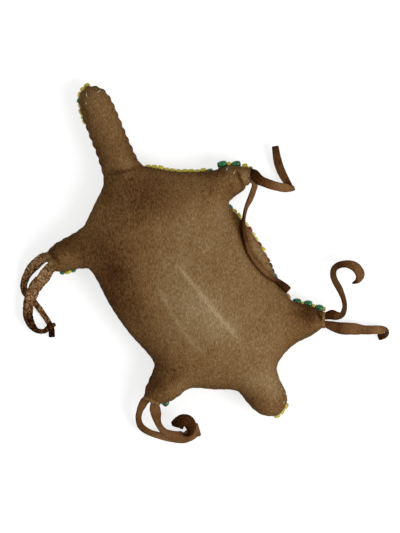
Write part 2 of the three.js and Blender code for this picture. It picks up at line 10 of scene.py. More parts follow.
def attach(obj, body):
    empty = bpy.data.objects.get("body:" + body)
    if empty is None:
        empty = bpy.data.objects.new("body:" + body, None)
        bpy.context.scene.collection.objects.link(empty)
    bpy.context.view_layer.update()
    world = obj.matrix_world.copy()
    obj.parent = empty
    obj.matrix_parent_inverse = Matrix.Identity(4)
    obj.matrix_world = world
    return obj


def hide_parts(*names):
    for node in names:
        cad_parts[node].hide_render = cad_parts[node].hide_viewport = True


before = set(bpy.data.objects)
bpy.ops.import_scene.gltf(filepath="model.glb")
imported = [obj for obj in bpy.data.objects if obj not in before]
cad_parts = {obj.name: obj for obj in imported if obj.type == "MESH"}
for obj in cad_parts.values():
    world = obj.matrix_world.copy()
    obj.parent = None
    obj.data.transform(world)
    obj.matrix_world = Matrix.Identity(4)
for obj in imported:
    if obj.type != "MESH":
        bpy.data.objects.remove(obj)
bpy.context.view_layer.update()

MM = 0.001
CAMERA_FLAT = (0.4815, 0.8764)  # image down, in the part's x and y
PHOTO_MM = 0.36  # millimetres in one pixel of the 400 x 533 image

# The pouch, its beadwork and its thongs, as in the solids
SHELL_LENGTH, SHELL_WIDTH, SHELL_LEAN = 89, 56.8, 0.083
FULLNESS, SWELL, BACK_SHARE, BACK_DEPTH = 1.85, 0.6, 0.85, 7.2
LIMB_DROOP = 1.3
SEAM_HEIGHT = 9.45
LANE_STAND, LANE_BEAD, LANE_PITCH, LANE_WIDTH, LANE_GAP = 0.5, 2.0, 2.0, 8.6, 0.5
THONG_THICKNESS, CLEARANCE, SLEEVE_DEPTH, ROOT_INSET = 1.1, 0.3, 3.2, 0.5

# One stitch of the seam, the steps of its fine and its coarse line and of the sheets' points, and
# how near a leg's end a point has to be to count as the leg's
STITCH, SEAM_STEP, COARSE_STEP, SHEET_STEP, MOUTH_REACH = 3.3, 0.7, 1.1, 0.85, 14
# A strap's stations are a step apart, its section has this many sides, and its end is rounded off
# over the last stretch
STRAP_STEP, STRAP_SIDES, STRAP_END = 0.45, 16, 0.6
# The points round a bead and round its profile
BEAD_SIDES, BEAD_PROFILE = 12, 10
# A lane's beads, across and through, how many make a row, and the radius of a row's thread
BEAD_ACROSS, BEAD_HEIGHT, ROW_BEADS, ROW_THREAD = 1.93, 1.98, 6, 0.16
# The beads along the seam: their size and pitch
SEAM_BEAD, SEAM_PITCH = 2.2, 2.15
# A leg row's beads: their size, half the room that the row takes along the leg, and their pitch
LEG_BEADS = {"green": (2.6, 1.1, 2.0), "yellow": (1.75, 0.675, 1.6)}

# Half widths along each limb, as [distance out, half width]
LIMBS = {
    "tail": dict(around=267, proud=-0.2, heading=-96.7, length=33,
                 left=[[-1.5, 7.5], [7, 6], [17, 5.8], [27, 5.1], [30.8, 3.8]],
                 right=[[-0.5, 7.8], [7, 6.8], [17, 6.6], [27, 6.1], [30.8, 4.4]]),
    "head": dict(around=91.6, proud=0.3, heading=93, length=15,
                 left=[[0, 8.6], [4.5, 7], [9, 6.6], [12.5, 5.1]],
                 right=[[0, 8.2], [4.5, 7.4], [9, 6.5], [12.5, 4.6]]),
    "hind_right": dict(around=208.3, proud=3.4, heading=165.2, length=10.9, row_reach=5.5,
                       left=[[-1, 6], [5, 6.3], [10.9, 4.4]],
                       right=[[4.6, 5.1], [8, 3.8], [10.9, 3]]),
    "fore_right": dict(around=139.4, proud=3.1, heading=149.7, length=10.9,
                       left=[[0, 5.7], [4.5, 4.5], [10.9, 2.6]],
                       right=[[-2.4, 13.7], [1.8, 9.7], [6, 7.5], [10.9, 4.8]]),
    "hind_left": dict(around=-35, proud=1, heading=-8.8, length=13.6,
                      left=[[2, 7.4], [6, 6], [13.6, 4.9]],
                      right=[[-2, 8], [2, 6.7], [7, 5.9], [13.6, 4.6]]),
    "fore_left": dict(around=36.5, proud=2.9, heading=25.9, length=10.3,
                      left=[[-0.5, 9], [4.5, 7.3], [10.3, 4.6]],
                      right=[[-0.4, 6.3], [4.5, 4.8], [10.3, 3.7]]),
}
LEGS = ["hind_right", "fore_right", "hind_left", "fore_left"]
RIM = {
    "rear_right": [[245, -0.5], [230, 0.3]],
    "right": [[200, 0.9], [185, 0.2], [170, 0.2], [155, 0.9]],
    "front_left": [[62, 1.5]],
    "left": [[25, 1.1], [10, 0.4], [-5, 0.3], [-20, 0.8]],
    "rear_left": [[-50, 0.8], [-63, -0.8]],
}
# Each thong's route: distance out of the sleeve, distance to the leg's left, height as a share
# of the sleeve's, width, and twist in degrees
THONGS = {
    ("hind_right", "long"): [
        [2.4, 1.25, 1.32, 3.1, 0], [3.7, -1.3, 1.05, 3.8, 0], [5.7, -2.9, 0.92, 3.5, 0],
        [8.9, -4.9, 0.75, 3.2, 0], [12.4, -6.5, 0.6, 3.1, -5], [14.9, -7.3, 0.5, 2.2, -60],
        [14.4, -6.2, 0.32, 2, -120], [13.1, -3.6, 0.2, 2.9, -175], [12.1, 0.6, 0.25, 3.1, -180],
        [11.9, 4.3, 0.35, 3, -180], [12.3, 9.2, 0.45, 2.7, -180]],
    ("hind_right", "flank"): [
        [1.5, -1.4, 0.95, 2, 0], [1.7, -2.8, 0.78, 2.2, 10], [0.8, -4.5, 0.66, 2.4, 28],
        [-0.9, -6.9, 0.88, 2.5, 40], [-3.2, -9.7, 1.2, 2.2, 60], [-4.9, -13, 1.33, 2.1, 70],
        [-6, -16.1, 1.3, 2.3, 60], [-6.4, -20, 1.3, 2.3, 60], [-6.4, -24.3, 1.3, 2.3, 60],
        [-5.4, -28.4, 1.3, 2.3, 60], [-3.7, -32, 1.3, 2.4, 55], [-1.7, -35.1, 1.3, 2.5, 50],
        [0.8, -38, 1.3, 2.8, 45], [3.2, -40.8, 1.3, 3, 35], [4.4, -42.6, 1.28, 3, 30]],
    ("fore_right", "curl"): [
        [3.4, 0.9, 1.1, 3.6, 5], [5.6, 0.6, 1.05, 3.1, 25], [7.3, 1.1, 1, 2.6, 50],
        [8.1, 3.8, 1, 2.6, 60], [7.7, 6.3, 1, 2.7, 55], [6.8, 8.7, 1, 2.8, 50],
        [5.7, 10.9, 1, 2.9, 45], [4.4, 13.1, 1, 2.9, 45], [3.7, 15.2, 1, 2.8, 45],
        [3.9, 17.3, 1, 2.8, 45], [5.4, 18.7, 1.03, 2.9, 40], [7.8, 19.3, 1.06, 3, 30],
        [10.1, 19, 1.1, 3.4, 20], [12, 17.9, 1.13, 3.7, 15], [13.3, 15.6, 1.15, 3.6, 20],
        [12.5, 13.4, 1.15, 2.8, 50], [10.5, 12.4, 1.12, 1.9, 100]],
    ("fore_right", "straight"): [
        [3.6, -3.1, 0.72, 3.6, 0], [7.1, -3.9, 0.52, 4.3, 0], [11.6, -4, 0.45, 4.2, 0],
        [16.1, -4.3, 0.4, 3.4, 0], [20.6, -4.1, 0.42, 3.1, 0], [23.2, -4.3, 0.4, 3.2, -50],
        [23.5, -5.3, 0.26, 3.1, -120], [22.2, -6.3, 0.14, 2.6, -172],
        [20.6, -6.9, 0.08, 2.4, -180]],
    ("hind_left", "outer"): [
        [2.6, -2, 0.78, 3.8, 0], [5.4, -1, 0.6, 3.9, 0], [8.8, 0.7, 0.4, 3.4, 0],
        [11.3, 2.9, 0.2, 2.8, 0], [12.8, 5.1, 0.08, 2.4, 0], [13.1, 7.6, 0.02, 2.3, 0],
        [12, 10.1, 0.02, 2.2, 0], [10.8, 12.9, 0.02, 2.2, 0], [9.8, 16.3, 0.02, 2.1, 0],
        [8.9, 19.8, 0.02, 2, 0], [8.7, 23, 0.02, 2.1, 0], [9.5, 26, 0.02, 2.2, 0]],
    ("hind_left", "inner"): [
        [2.6, 3, 0.95, 4.2, 0], [4.9, 4.7, 0.85, 4.5, 0], [8.1, 6.4, 0.7, 4.5, 0],
        [11.1, 9.1, 0.55, 4.4, 0], [13.4, 12.1, 0.45, 3.9, 0], [14.8, 15.4, 0.4, 3.5, 0],
        [14.9, 18.8, 0.35, 3, 10], [13.7, 21.8, 0.3, 1.9, 20], [11.4, 22.9, 0.32, 1.8, 10],
        [9, 22.2, 0.3, 2.1, 0], [6.6, 21.9, 0.25, 1.3, 0]],
    ("fore_left", "outer"): [
        [2.2, -1.5, 0.9, 3.3, 5], [3.9, -1.3, 0.82, 3.1, 10], [6, -0.9, 0.7, 2.6, 30],
        [8.4, 0.2, 0.5, 2.5, 35], [10.3, 2.4, 0.35, 2.5, 30], [10.6, 5.8, 0.2, 2.4, 10],
        [9.5, 9.8, 0.08, 2.4, 0], [7.6, 14, 0.04, 3, 0], [5, 17.8, 0.04, 3.9, 0],
        [2.6, 19, 0.06, 4.4, 0], [0.7, 19.4, 0.07, 4.8, 0], [-0.9, 20.6, 0.08, 5, 0]],
    ("fore_left", "scroll"): [
        [2.2, 3.1, 0.95, 4, 0], [3.6, 4.6, 0.88, 3.8, 0], [4.6, 5.5, 0.75, 3.2, -5],
        [6.3, 7.8, 0.65, 2.4, -20], [7.1, 10.7, 0.55, 2.8, -35], [6.6, 13.6, 0.5, 3.8, -35],
        [5.4, 16.4, 0.52, 4.8, -25], [3.6, 18.1, 0.6, 4.9, -45], [1.7, 17.9, 0.75, 5.2, -125],
        [0.1, 16.8, 0.87, 5.6, -145], [-0.4, 15.1, 0.97, 6, -155],
        [0.7, 13.4, 1.02, 5.6, -160], [2.1, 12.1, 1.04, 3.6, -160], [3.3, 11.2, 1.04, 1.7, -155]],
}

# Each thong's tone along its run, as [share of its length, tone]: 0 is the middle brown. The
# tones hold painted light and shade with the thong's own colour, such as the painted shade
# where the right legs' thongs leave their mouths
THONG_TONES_AND_SHADE = {
    ("hind_right", "long"): [[0, -1], [0.18, -0.8], [0.33, -0.1], [0.43, 0.45], [0.52, 0.5],
                             [0.56, 0.2], [0.8, 0.3], [1, 0.1]],
    ("hind_right", "flank"): [[0, -0.4], [0.12, 0.3], [0.3, 0.2], [0.4, -0.4], [0.5, -0.2],
                              [0.6, 0.05], [0.8, 0.1], [0.9, -0.4], [1, -0.8]],
    ("fore_right", "curl"): [[0, -0.7], [0.15, -0.35], [0.3, 0], [0.5, 0.05], [0.62, -0.1],
                             [0.7, -0.35], [0.8, 0.15], [0.9, 0.3], [0.96, -0.2], [1, -1]],
    ("fore_right", "straight"): [[0, -0.6], [0.3, -0.3], [0.5, 0.05], [0.75, 0.45], [0.82, 0.35],
                                 [0.87, -0.1], [1, -0.2]],
    ("hind_left", "outer"): [[0, 0.5], [0.3, 0.4], [0.6, 0.4], [0.85, 0.2], [0.92, -0.4],
                             [1, -0.55]],
    ("hind_left", "inner"): [[0, 0.8], [0.15, 0.65], [0.55, 0.6], [0.68, -0.3], [1, -0.5]],
    ("fore_left", "outer"): [[0, -0.1], [0.4, -0.05], [0.65, 0.35], [0.9, 0.45], [1, 0.3]],
    ("fore_left", "scroll"): [[0, 0.2], [0.25, 0.1], [0.42, 0.3], [0.56, 0.3], [0.64, 0.25],
                              [0.72, 0.1], [0.85, 0.15], [0.94, -0.1], [1, -0.4]],
}


# Curves and places


def spline(knots, per_span=12, closed=False):
    """Centripetal Catmull-Rom curve: between two knots, the cubic whose end slopes follow
    from the neighbouring knots, weighted by the square roots of their distances."""
    p = np.asarray(knots, float)
    if closed:
        a, b, c, d = np.roll(p, 1, 0), p, np.roll(p, -1, 0), np.roll(p, -2, 0)
    else:
        wide = np.vstack([2 * p[0] - p[1], p, 2 * p[-1] - p[-2]])
        a, b, c, d = wide[:-3], wide[1:-2], wide[2:-1], wide[3:]
    ab, bc, cd = (np.sqrt(np.linalg.norm(v, axis=1))[:, None] for v in (b - a, c - b, d - c))
    start = ((b - a) / ab - (c - a) / (ab + bc) + (c - b) / bc) * bc
    end = ((c - b) / bc - (d - b) / (bc + cd) + (d - c) / cd) * bc
    t = (np.arange(per_span) / per_span)[None, :, None]
    b, c, start, end = (v[:, None] for v in (b, c, start, end))
    curve = (b * (2 * t**3 - 3 * t**2 + 1) + start * (t**3 - 2 * t**2 + t)
             + c * (3 * t**2 - 2 * t**3) + end * (t**3 - t**2))
    curve = curve.reshape(-1, p.shape[1])
    return curve if closed else np.vstack([curve, p[-1:]])


def along(points):
    """Distance run along a line of points, from 0 at its first point."""
    return np.concatenate([[0], np.cumsum(np.linalg.norm(np.diff(points, axis=0), axis=1))])


def at_lengths(points, lengths):
    """Points of a line at given distances along it."""
    run = along(points)
    return np.column_stack([np.interp(lengths, run, column) for column in points.T])


def unit(v):
    """Vectors brought to length 1."""
    return v / np.maximum(np.linalg.norm(v, axis=-1, keepdims=True), 1e-9)


def blunt(value, power):
    """A value between -1 and 1 raised to a power, with its sign kept: a power below 1 makes a
    round section blunter."""
    return np.sign(value) * np.abs(value) ** power


def to_right(ahead):
    """The directions to the right of a way ahead. Along the seam they point away from it."""
    return np.column_stack([ahead[:, 1], -ahead[:, 0]])


def seen(x, y):
    """The part's x and y, in mm, under a pixel of the photograph's 400 x 533 frame."""
    right, down = x - 192, y - 276
    sine, cosine = CAMERA_FLAT
    return np.array([(sine * down - cosine * right) * PHOTO_MM - 2,
                     (sine * right + cosine * down) * PHOTO_MM + 1])


def shell_point(angle, proud=0.0):
    """The shell's rim: an ellipse grown by proud, whose middle line leans sideways."""
    turn = np.radians(angle)
    y = (SHELL_LENGTH / 2 + proud) * np.sin(turn)
    return np.stack([(SHELL_WIDTH / 2 + proud) * np.cos(turn) - SHELL_LEAN * y, y], -1)


for limb in LIMBS.values():
    heading = math.radians(limb["heading"])
    limb["root"] = shell_point(limb["around"], limb["proud"])
    limb["ahead"] = np.array([math.cos(heading), math.sin(heading)])
    limb["leftward"] = np.array([-limb["ahead"][1], limb["ahead"][0]])
    # A leg's mouth: how far left its middle is, and its width
    tip_left, tip_right = limb["left"][-1][1], limb["right"][-1][1]
    limb["mouth"], limb["mouth_width"] = (tip_left - tip_right) / 2, tip_left + tip_right


def on_limb(limb, out, left=0.0):
    """A place so far out along a limb and so far to its left."""
    out, left = np.broadcast_arrays(np.asarray(out, float), left)
    return limb["root"] + out[..., None] * limb["ahead"] + left[..., None] * limb["leftward"]


def limb_knots(name):
    """The limb's part of the seam: its right side outwards, its tip, and its left side back.
    A leg is drawn too long, and its mouth is cut across it later."""
    limb = LIMBS[name]
    right, left = np.array(limb["right"]), np.array(limb["left"])
    ends = [[limb["length"], 0]]
    if name in LEGS:
        spare = 0.4 * limb["length"]
        tip = limb["length"] + 0.6 * spare
        ends = [[tip, -0.8 * right[-1, 1]], [limb["length"] + spare, 0], [tip, 0.8 * left[-1, 1]]]
    path = np.vstack([right * [1, -1], ends, left[::-1]])
    return on_limb(limb, path[:, 0], path[:, 1])


def rim_knots(name):
    """A stretch of the shell's rim between two limbs."""
    return np.array([shell_point(angle, proud) for angle, proud in RIM[name][::-1]])


knots = np.vstack([
    limb_knots("head"), limb_knots("fore_right"), rim_knots("right"),
    limb_knots("hind_right"), rim_knots("rear_right"), limb_knots("tail"),
    rim_knots("rear_left"), limb_knots("hind_left"), rim_knots("left"),
    limb_knots("fore_left"), rim_knots("front_left"),
])
loop = spline(knots, 40, closed=True)
loop = np.vstack([loop, loop[:1]])
SEAM_LENGTH = along(loop)[-1]
STITCHES = round(SEAM_LENGTH / STITCH)


def near_limb(p, name):
    """1 on a limb and 0 away from it, fading over a few millimetres at its root."""
    limb = LIMBS[name]
    out = (p - limb["root"]) @ limb["ahead"]
    side = np.abs((p - limb["root"]) @ limb["leftward"])
    return 1 / (1 + np.exp(-(out - 2) / 1.5)) / (1 + np.exp((side - 12) / 1.5))


def sewn_seam(step):
    """The seam, drawn in at each stitch and rounded out between two stitches: an offset of
    depth * (|sin| of half the stitch phase - 0.6), deepest on the tail and the left legs."""
    count = int(SEAM_LENGTH / step)
    run = np.arange(count) * SEAM_LENGTH / count
    p = at_lengths(loop, run)
    ahead = unit(np.roll(p, -1, 0) - np.roll(p, 1, 0))
    depth = 0.16 + 0.42 * near_limb(p, "tail") + 0.2 * (
        near_limb(p, "hind_left") + near_limb(p, "fore_left"))
    bump = np.abs(np.sin(np.pi * run * STITCHES / SEAM_LENGTH)) - 0.6
    return p + to_right(ahead) * (depth * bump)[:, None], run


seam, seam_run = sewn_seam(SEAM_STEP)
coarse_seam, _ = sewn_seam(COARSE_STEP)


def in_chunks(work, p):
    """The work done on a few thousand points at a time, to spare memory."""
    p = np.asarray(p, float)
    flat = p.reshape(-1, 2)
    parts = [work(flat[i:i + 3000]) for i in range(0, len(flat), 3000)]
    return np.concatenate(parts).reshape(p.shape[:-1])


def inside_seam(p, rim=None):
    """Whether a point lies inside the seam: a ray along +X crosses it an odd number of times."""
    a = coarse_seam if rim is None else rim
    b = np.roll(a, -1, 0)

    def work(q):
        x, y = q[:, :1], q[:, 1:]
        crossed = (a[:, 1] > y) != (b[:, 1] > y)
        rise = np.where(crossed, b[:, 1] - a[:, 1], 1)
        at = a[:, 0] + (y - a[:, 1]) / rise * (b[:, 0] - a[:, 0])
        return np.sum(crossed & (x < at), axis=1) % 2 == 1

    return in_chunks(work, p)


def depth_inside(p):
    """Smooth distance from the seam. Each stretch ds of the seam at distance r adds
    ds / r cubed, and a straight seam at distance d adds up to 2 / d squared."""
    a, b = coarse_seam, np.roll(coarse_seam, -1, 0)
    size = np.linalg.norm(b - a, axis=1)
    line = (b - a) / size[:, None]

    def work(q):
        gap = a[None] - q[:, None]
        start = np.einsum("ijk,jk->ij", gap, line)
        off = np.maximum(np.abs(gap[..., 0] * line[:, 1] - gap[..., 1] * line[:, 0]), 1e-3)
        end = start + size
        total = (end / np.hypot(off, end) - start / np.hypot(off, start)) / off**2
        return np.sqrt(2 / np.sum(total, axis=1))

    return in_chunks(work, p)


def seam_z(p):
    """Height of the seam: level round the shell, drooping further out on the limbs."""
    reach = (2 * p[..., 0] / SHELL_WIDTH) ** 2 + (2 * p[..., 1] / SHELL_LENGTH) ** 2
    return SEAM_HEIGHT - LIMB_DROOP * np.maximum(0, reach - 1)


def crown(depth):
    """How high the plain bulge stands at a depth inside the seam."""
    return FULLNESS * depth**SWELL


def back_z(p, rise=None):
    """The back: it bulges like the belly and flattens out at its greatest depth."""
    free = BACK_SHARE * (crown(depth_inside(p)) if rise is None else rise)
    return seam_z(p) - free / (1 + (free / BACK_DEPTH) ** 8) ** (1 / 8)


def gap_to_line(p, line):
    """Distance from points to a bent line, and how far along it (0 to 1) the nearest place is."""
    a, b = line[:-1], line[1:]
    run = along(line)
    step = b - a
    t = np.einsum("ijk,jk->ij", p[:, None] - a, step) / np.sum(step**2, axis=1)
    t = np.clip(t, 0, 1)
    gaps = np.linalg.norm(p[:, None] - a - t[..., None] * step, axis=2)
    best = np.argmin(gaps, axis=1)
    rows = np.arange(len(p))
    place = (run[best] + t[rows, best] * np.diff(run)[best]) / run[-1]
    return gaps[rows, best], place


def ridge(p, pixels, width):
    """A soft ridge of height 1 along a line given in the photograph's pixels: a bell curve of
    the distance from it, faded in and out over its ends."""
    line = spline([seen(x, y) for x, y in pixels], 8)
    gap, place = gap_to_line(p, line)
    fade = np.clip(np.minimum(place, 1 - place) * 5, 0, 1)
    return np.exp(-((gap / width) ** 2)) * (0.25 + 0.75 * fade)


def blot(p, x, y, wide, high, turn=0.0):
    """A soft round or oval patch of height 1 about a pixel of the photograph."""
    offset = p - seen(x, y)
    a, b = math.cos(turn), math.sin(turn)
    right = -offset[:, 0] * CAMERA_FLAT[1] + offset[:, 1] * CAMERA_FLAT[0]
    down = offset[:, 0] * CAMERA_FLAT[0] + offset[:, 1] * CAMERA_FLAT[1]
    u, v = a * right + b * down, a * down - b * right
    return np.exp(-((u / wide) ** 2) - (v / high) ** 2)


def marks(p, ridges, blots=()):
    """The sum of ridges and blots, each row of a table starting with its strength."""
    return (sum(strength * ridge(p, *row) for strength, *row in ridges)
            + sum(strength * blot(p, *row) for strength, *row in blots))


def waves(p, size, seed):
    """Gentle unevenness between -1 and 1: a sum of eight plane waves about size mm long."""
    random = np.random.default_rng(seed)
    turn = random.uniform(0, 2 * np.pi, 8)
    pace = 2 * np.pi / size * random.uniform(0.7, 1.4, 8)
    phase = random.uniform(0, 2 * np.pi, 8)
    angle = np.outer(p[:, 0], pace * np.cos(turn)) + np.outer(p[:, 1], pace * np.sin(turn))
    return np.sin(angle + phase).sum(axis=1) / 4


# Meshes


def new_piece(name, patches, materials, attributes=None):
    """Joins patches (points in mm, faces, material number) into one smooth-shaded mesh."""
    points, starts, corners, slots = [], [], [], []
    base = loops = 0
    for patch_points, faces, slot in patches:
        faces = np.asarray(faces)
        points.append(np.asarray(patch_points, float).reshape(-1, 3))
        corners.append((faces + base).ravel())
        starts.append(loops + np.arange(len(faces)) * faces.shape[1])
        slots.append(np.full(len(faces), slot))
        base += len(points[-1])
        loops += faces.size
    mesh = bpy.data.meshes.new(name)
    points, starts, corners, slots = map(np.concatenate, (points, starts, corners, slots))
    mesh.vertices.add(len(points))
    mesh.vertices.foreach_set("co", (points * MM).ravel())
    mesh.loops.add(len(corners))
    mesh.loops.foreach_set("vertex_index", corners)
    mesh.polygons.add(len(starts))
    mesh.polygons.foreach_set("loop_start", starts)
    mesh.polygons.foreach_set("material_index", slots)
    mesh.polygons.foreach_set("use_smooth", np.ones(len(starts), bool))
    mesh.update(calc_edges=True)
    mesh.validate()
    for key, values in (attributes or {}).items():
        layer = mesh.attributes.new(key, "FLOAT", "POINT")
        layer.data.foreach_set("value", np.asarray(values, np.float32))
    for material in materials:
        mesh.materials.append(material)
    piece = bpy.data.objects.new(name, mesh)
    bpy.context.scene.collection.objects.link(piece)
    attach(piece, "root")
    return piece


def face_outward(piece):
    """Turns every face of a closed piece to point out."""
    work = bmesh.new()
    work.from_mesh(piece.data)
    bmesh.ops.recalc_face_normals(work, faces=work.faces)
    work.to_mesh(piece.data)
    work.free()


def ring_faces(rings, sides, closed=False):
    """Four-sided faces between successive rings of points."""
    i = np.arange(rings if closed else rings - 1)[:, None]
    j = np.arange(sides)[None]
    after, beside = (i + 1) % rings, (j + 1) % sides
    quads = np.stack([i * sides + j, i * sides + beside, after * sides + beside,
                      after * sides + j], -1)
    return quads.reshape(-1, 4)


def tubes(paths, radius, sides=6):
    """Round threads: a small circle carried along each path (an array of equal length paths),
    shrunk almost to nothing at its ends."""
    paths = np.asarray(paths, float)
    count, stations, _ = paths.shape
    forward = unit(np.gradient(paths, axis=1))
    helper = np.where(np.abs(forward[..., 2:]) < 0.8, [0.0, 0, 1], [1.0, 0, 0])
    side = unit(np.cross(forward, helper))
    up = np.cross(side, forward)
    turn = np.arange(sides) * 2 * np.pi / sides
    size = np.full(stations, radius)
    size[[0, -1]] *= 0.15
    ring = (np.cos(turn)[:, None] * side[..., None, :] + np.sin(turn)[:, None] * up[..., None, :])
    points = paths[:, :, None] + ring * size[:, None, None]
    each = ring_faces(stations, sides)[:, ::-1]
    faces = (each + (np.arange(count) * stations * sides)[:, None, None]).reshape(-1, 4)
    return points.reshape(-1, 3), faces


def beads(centres, axes, out, across, height, length, slot=0, ends=0.75, middle=0.6):
    """Seed beads: an oval profile turned about each bead's thread. In shares of the bead's
    radius, the profile swings from the middle out to 1 and in to the hole at 0.2, and by half
    the bead's length to each side. The power ends makes a bead's ends flatter below 1, and a
    small middle makes them rounder."""
    axes = unit(axes)
    out = unit(out - np.sum(out * axes, 1, keepdims=True) * axes)
    side = np.cross(axes, out)
    turn = np.arange(BEAD_SIDES) * 2 * np.pi / BEAD_SIDES
    lap = np.arange(BEAD_PROFILE) * 2 * np.pi / BEAD_PROFILE
    swing = blunt(np.cos(lap), max(0.8, ends))
    spread = middle + np.where(swing > 0, 1 - middle, middle - 0.2) * swing
    run = 0.5 * blunt(np.sin(lap), ends)
    across, height, length = (np.broadcast_to(v, len(centres)) for v in (across, height, length))
    points = (
        centres[:, None, None]
        + axes[:, None, None] * (run[None, None] * length[:, None, None])[..., None]
        + side[:, None, None] * (np.sin(turn)[None, :, None] * spread * across[:, None, None]
                                 / 2)[..., None]
        + out[:, None, None] * (np.cos(turn)[None, :, None] * spread * height[:, None, None]
                                / 2)[..., None])
    each = ring_faces(BEAD_SIDES, BEAD_PROFILE, closed=True)[:, ::-1]
    size = BEAD_SIDES * BEAD_PROFILE
    faces = (each + (np.arange(len(centres)) * size)[:, None, None]).reshape(-1, 4)
    return points.reshape(-1, 3), faces, slot


# Materials


def linear(red, green, blue):
    """A colour written as 0 to 255 screen values, in the shader's linear values."""
    share = np.array([red, green, blue]) / 255
    value = np.where(share <= 0.04045, share / 12.92, ((share + 0.055) / 1.055) ** 2.4)
    return (*map(float, value), 1.0)


class Finish:
    """A material under construction: it adds nodes that read the object's own coordinates."""

    def __init__(self, name, roughness, **constants):
        self.material = bpy.data.materials.new(name)
        self.material.use_nodes = True
        self.tree = self.material.node_tree
        self.shader = self.tree.nodes["Principled BSDF"]
        self.shader.inputs["Roughness"].default_value = roughness
        for key, value in constants.items():
            self.shader.inputs[key.replace("_", " ")].default_value = value
        self.place = self.tree.nodes.new("ShaderNodeTexCoord").outputs["Object"]

    def feed(self, socket, value):
        if isinstance(value, bpy.types.NodeSocket):
            self.tree.links.new(value, socket)
        else:
            socket.default_value = value

    def combine(self, a, b, kind="ADD"):
        node = self.tree.nodes.new("ShaderNodeMath")
        node.operation = kind
        self.feed(node.inputs[0], a)
        self.feed(node.inputs[1], b)
        return node.outputs[0]

    def noise(self, size_mm, detail=3.0, stretch=(1, 1, 1), shift=0.0):
        """Cloudy noise with patches about size_mm wide, from 0 to 1 about a middle of 0.5. Its
        Y axis runs down the photograph, and a stretch makes the patches longer."""
        mapping = self.tree.nodes.new("ShaderNodeMapping")
        mapping.vector_type = "TEXTURE"
        mapping.inputs["Scale"].default_value = [size_mm * MM * s for s in stretch]
        mapping.inputs["Rotation"].default_value = (0, 0, -math.asin(CAMERA_FLAT[0]))
        mapping.inputs["Location"].default_value = [shift * size_mm * MM * k for k in (1, 2, 3)]
        self.feed(mapping.inputs["Vector"], self.place)
        node = self.tree.nodes.new("ShaderNodeTexNoise")
        node.inputs["Scale"].default_value = 1
        node.inputs["Detail"].default_value = detail
        self.feed(node.inputs["Vector"], mapping.outputs[0])
        return node.outputs["Fac"]

    def around(self, value, strength):
        """A noise value moved to swing about 0 by strength."""
        return self.combine(self.combine(value, -0.5), strength, "MULTIPLY")

    def attribute(self, name, strength):
        node = self.tree.nodes.new("ShaderNodeAttribute")
        node.attribute_name = name
        return self.combine(node.outputs["Fac"], strength, "MULTIPLY")

    def ramp(self, value, stops):
        node = self.tree.nodes.new("ShaderNodeValToRGB")
        self.feed(node.inputs["Fac"], value)
        elements = node.color_ramp.elements
        while len(elements) < len(stops):
            elements.new(0.5)
        for element, (position, colour) in zip(elements, stops):
            element.position = position
            element.color = colour
        return node.outputs["Color"]

    def colour(self, value):
        self.feed(self.shader.inputs["Base Color"], value)

    def bump(self, height, depth_mm, strength):
        node = self.tree.nodes.new("ShaderNodeBump")
        node.inputs["Strength"].default_value = strength
        node.inputs["Distance"].default_value = depth_mm * MM
        self.feed(node.inputs["Height"], height)
        self.feed(self.shader.inputs["Normal"], node.outputs["Normal"])


def suede(name, colours, nap=1.0, mottle=0.22, cracks=0.0):
    """Smoked hide with its nap up: a fine combed speckle, soft mottling, long scuffs and, on
    frayed straps, dark cracks over a tone that each piece carries, through evenly spaced
    colours from dark to light. That tone holds painted light and shade as well as the hide's
    own colour."""
    finish = Finish(name, 0.95, Sheen_Weight=0.06, Sheen_Roughness=0.5,
                    Sheen_Tint=(0.6, 0.42, 0.24, 1), Specular_IOR_Level=0.03)
    fine = finish.noise(0.42, 3, stretch=(1, 2.4, 1))
    grain = finish.noise(1.3, 4, stretch=(1, 1.6, 1), shift=3)
    patches = finish.noise(9, 4, shift=7)
    scuffs = finish.noise(5, 3, stretch=(1, 3.3, 1), shift=11)
    # The tone attribute: each piece's own colour together with its painted light and shade
    value = finish.attribute("tone", 0.5)
    for noise, strength in ((fine, 0.85 * nap), (grain, 0.2 * nap), (patches, mottle),
                            (scuffs, 0.6 * mottle)):
        value = finish.combine(value, finish.around(noise, strength))
    if cracks:
        line = finish.combine(finish.noise(1.1, 2, shift=17), -0.5)
        line = finish.combine(line, 0, "ABSOLUTE")
        line = finish.combine(finish.combine(line, 11, "MULTIPLY"), 1, "MINIMUM")
        line = finish.combine(finish.combine(line, -1), cracks, "MULTIPLY")
        value = finish.combine(value, line)
    value = finish.combine(value, 0.5)
    stops = [(k / (len(colours) - 1), linear(*colour)) for k, colour in enumerate(colours)]
    finish.colour(finish.ramp(value, stops))
    height = finish.combine(finish.combine(fine, 0.5, "MULTIPLY"),
                            finish.combine(grain, 0.8, "MULTIPLY"))
    finish.bump(height, 0.35, 0.6)
    return finish.material


def bead_glass(name, colour, deep, roughness=0.22, coat=0.5):
    """Opaque bead glass: its colour drifts a little from bead to bead and is greasy at the
    surface, under a clear skin."""
    finish = Finish(name, roughness, Coat_Weight=coat, Coat_Roughness=0.12,
                    Specular_IOR_Level=coat)
    value = finish.combine(finish.around(finish.noise(2.6, 1, shift=5), 1.3),
                           finish.around(finish.noise(0.5, 2), 0.3))
    finish.colour(finish.ramp(finish.combine(value, 0.5),
                              [(0.1, linear(*deep)), (0.6, linear(*colour))]))
    finish.bump(finish.noise(0.8, 2, shift=2), 0.05, 0.5)
    return finish.material


def sinew_thread(name, dark, light):
    """Twisted sinew: fine fibres of two tones, each a colour of 0 to 255."""
    finish = Finish(name, 0.6, Sheen_Weight=0.2)
    fibres = finish.noise(0.35, 2, stretch=(1, 1, 0.4))
    finish.colour(finish.ramp(fibres, [(0.3, linear(*dark)), (0.7, linear(*light))]))
    finish.bump(fibres, 0.08, 0.6)
    return finish.material


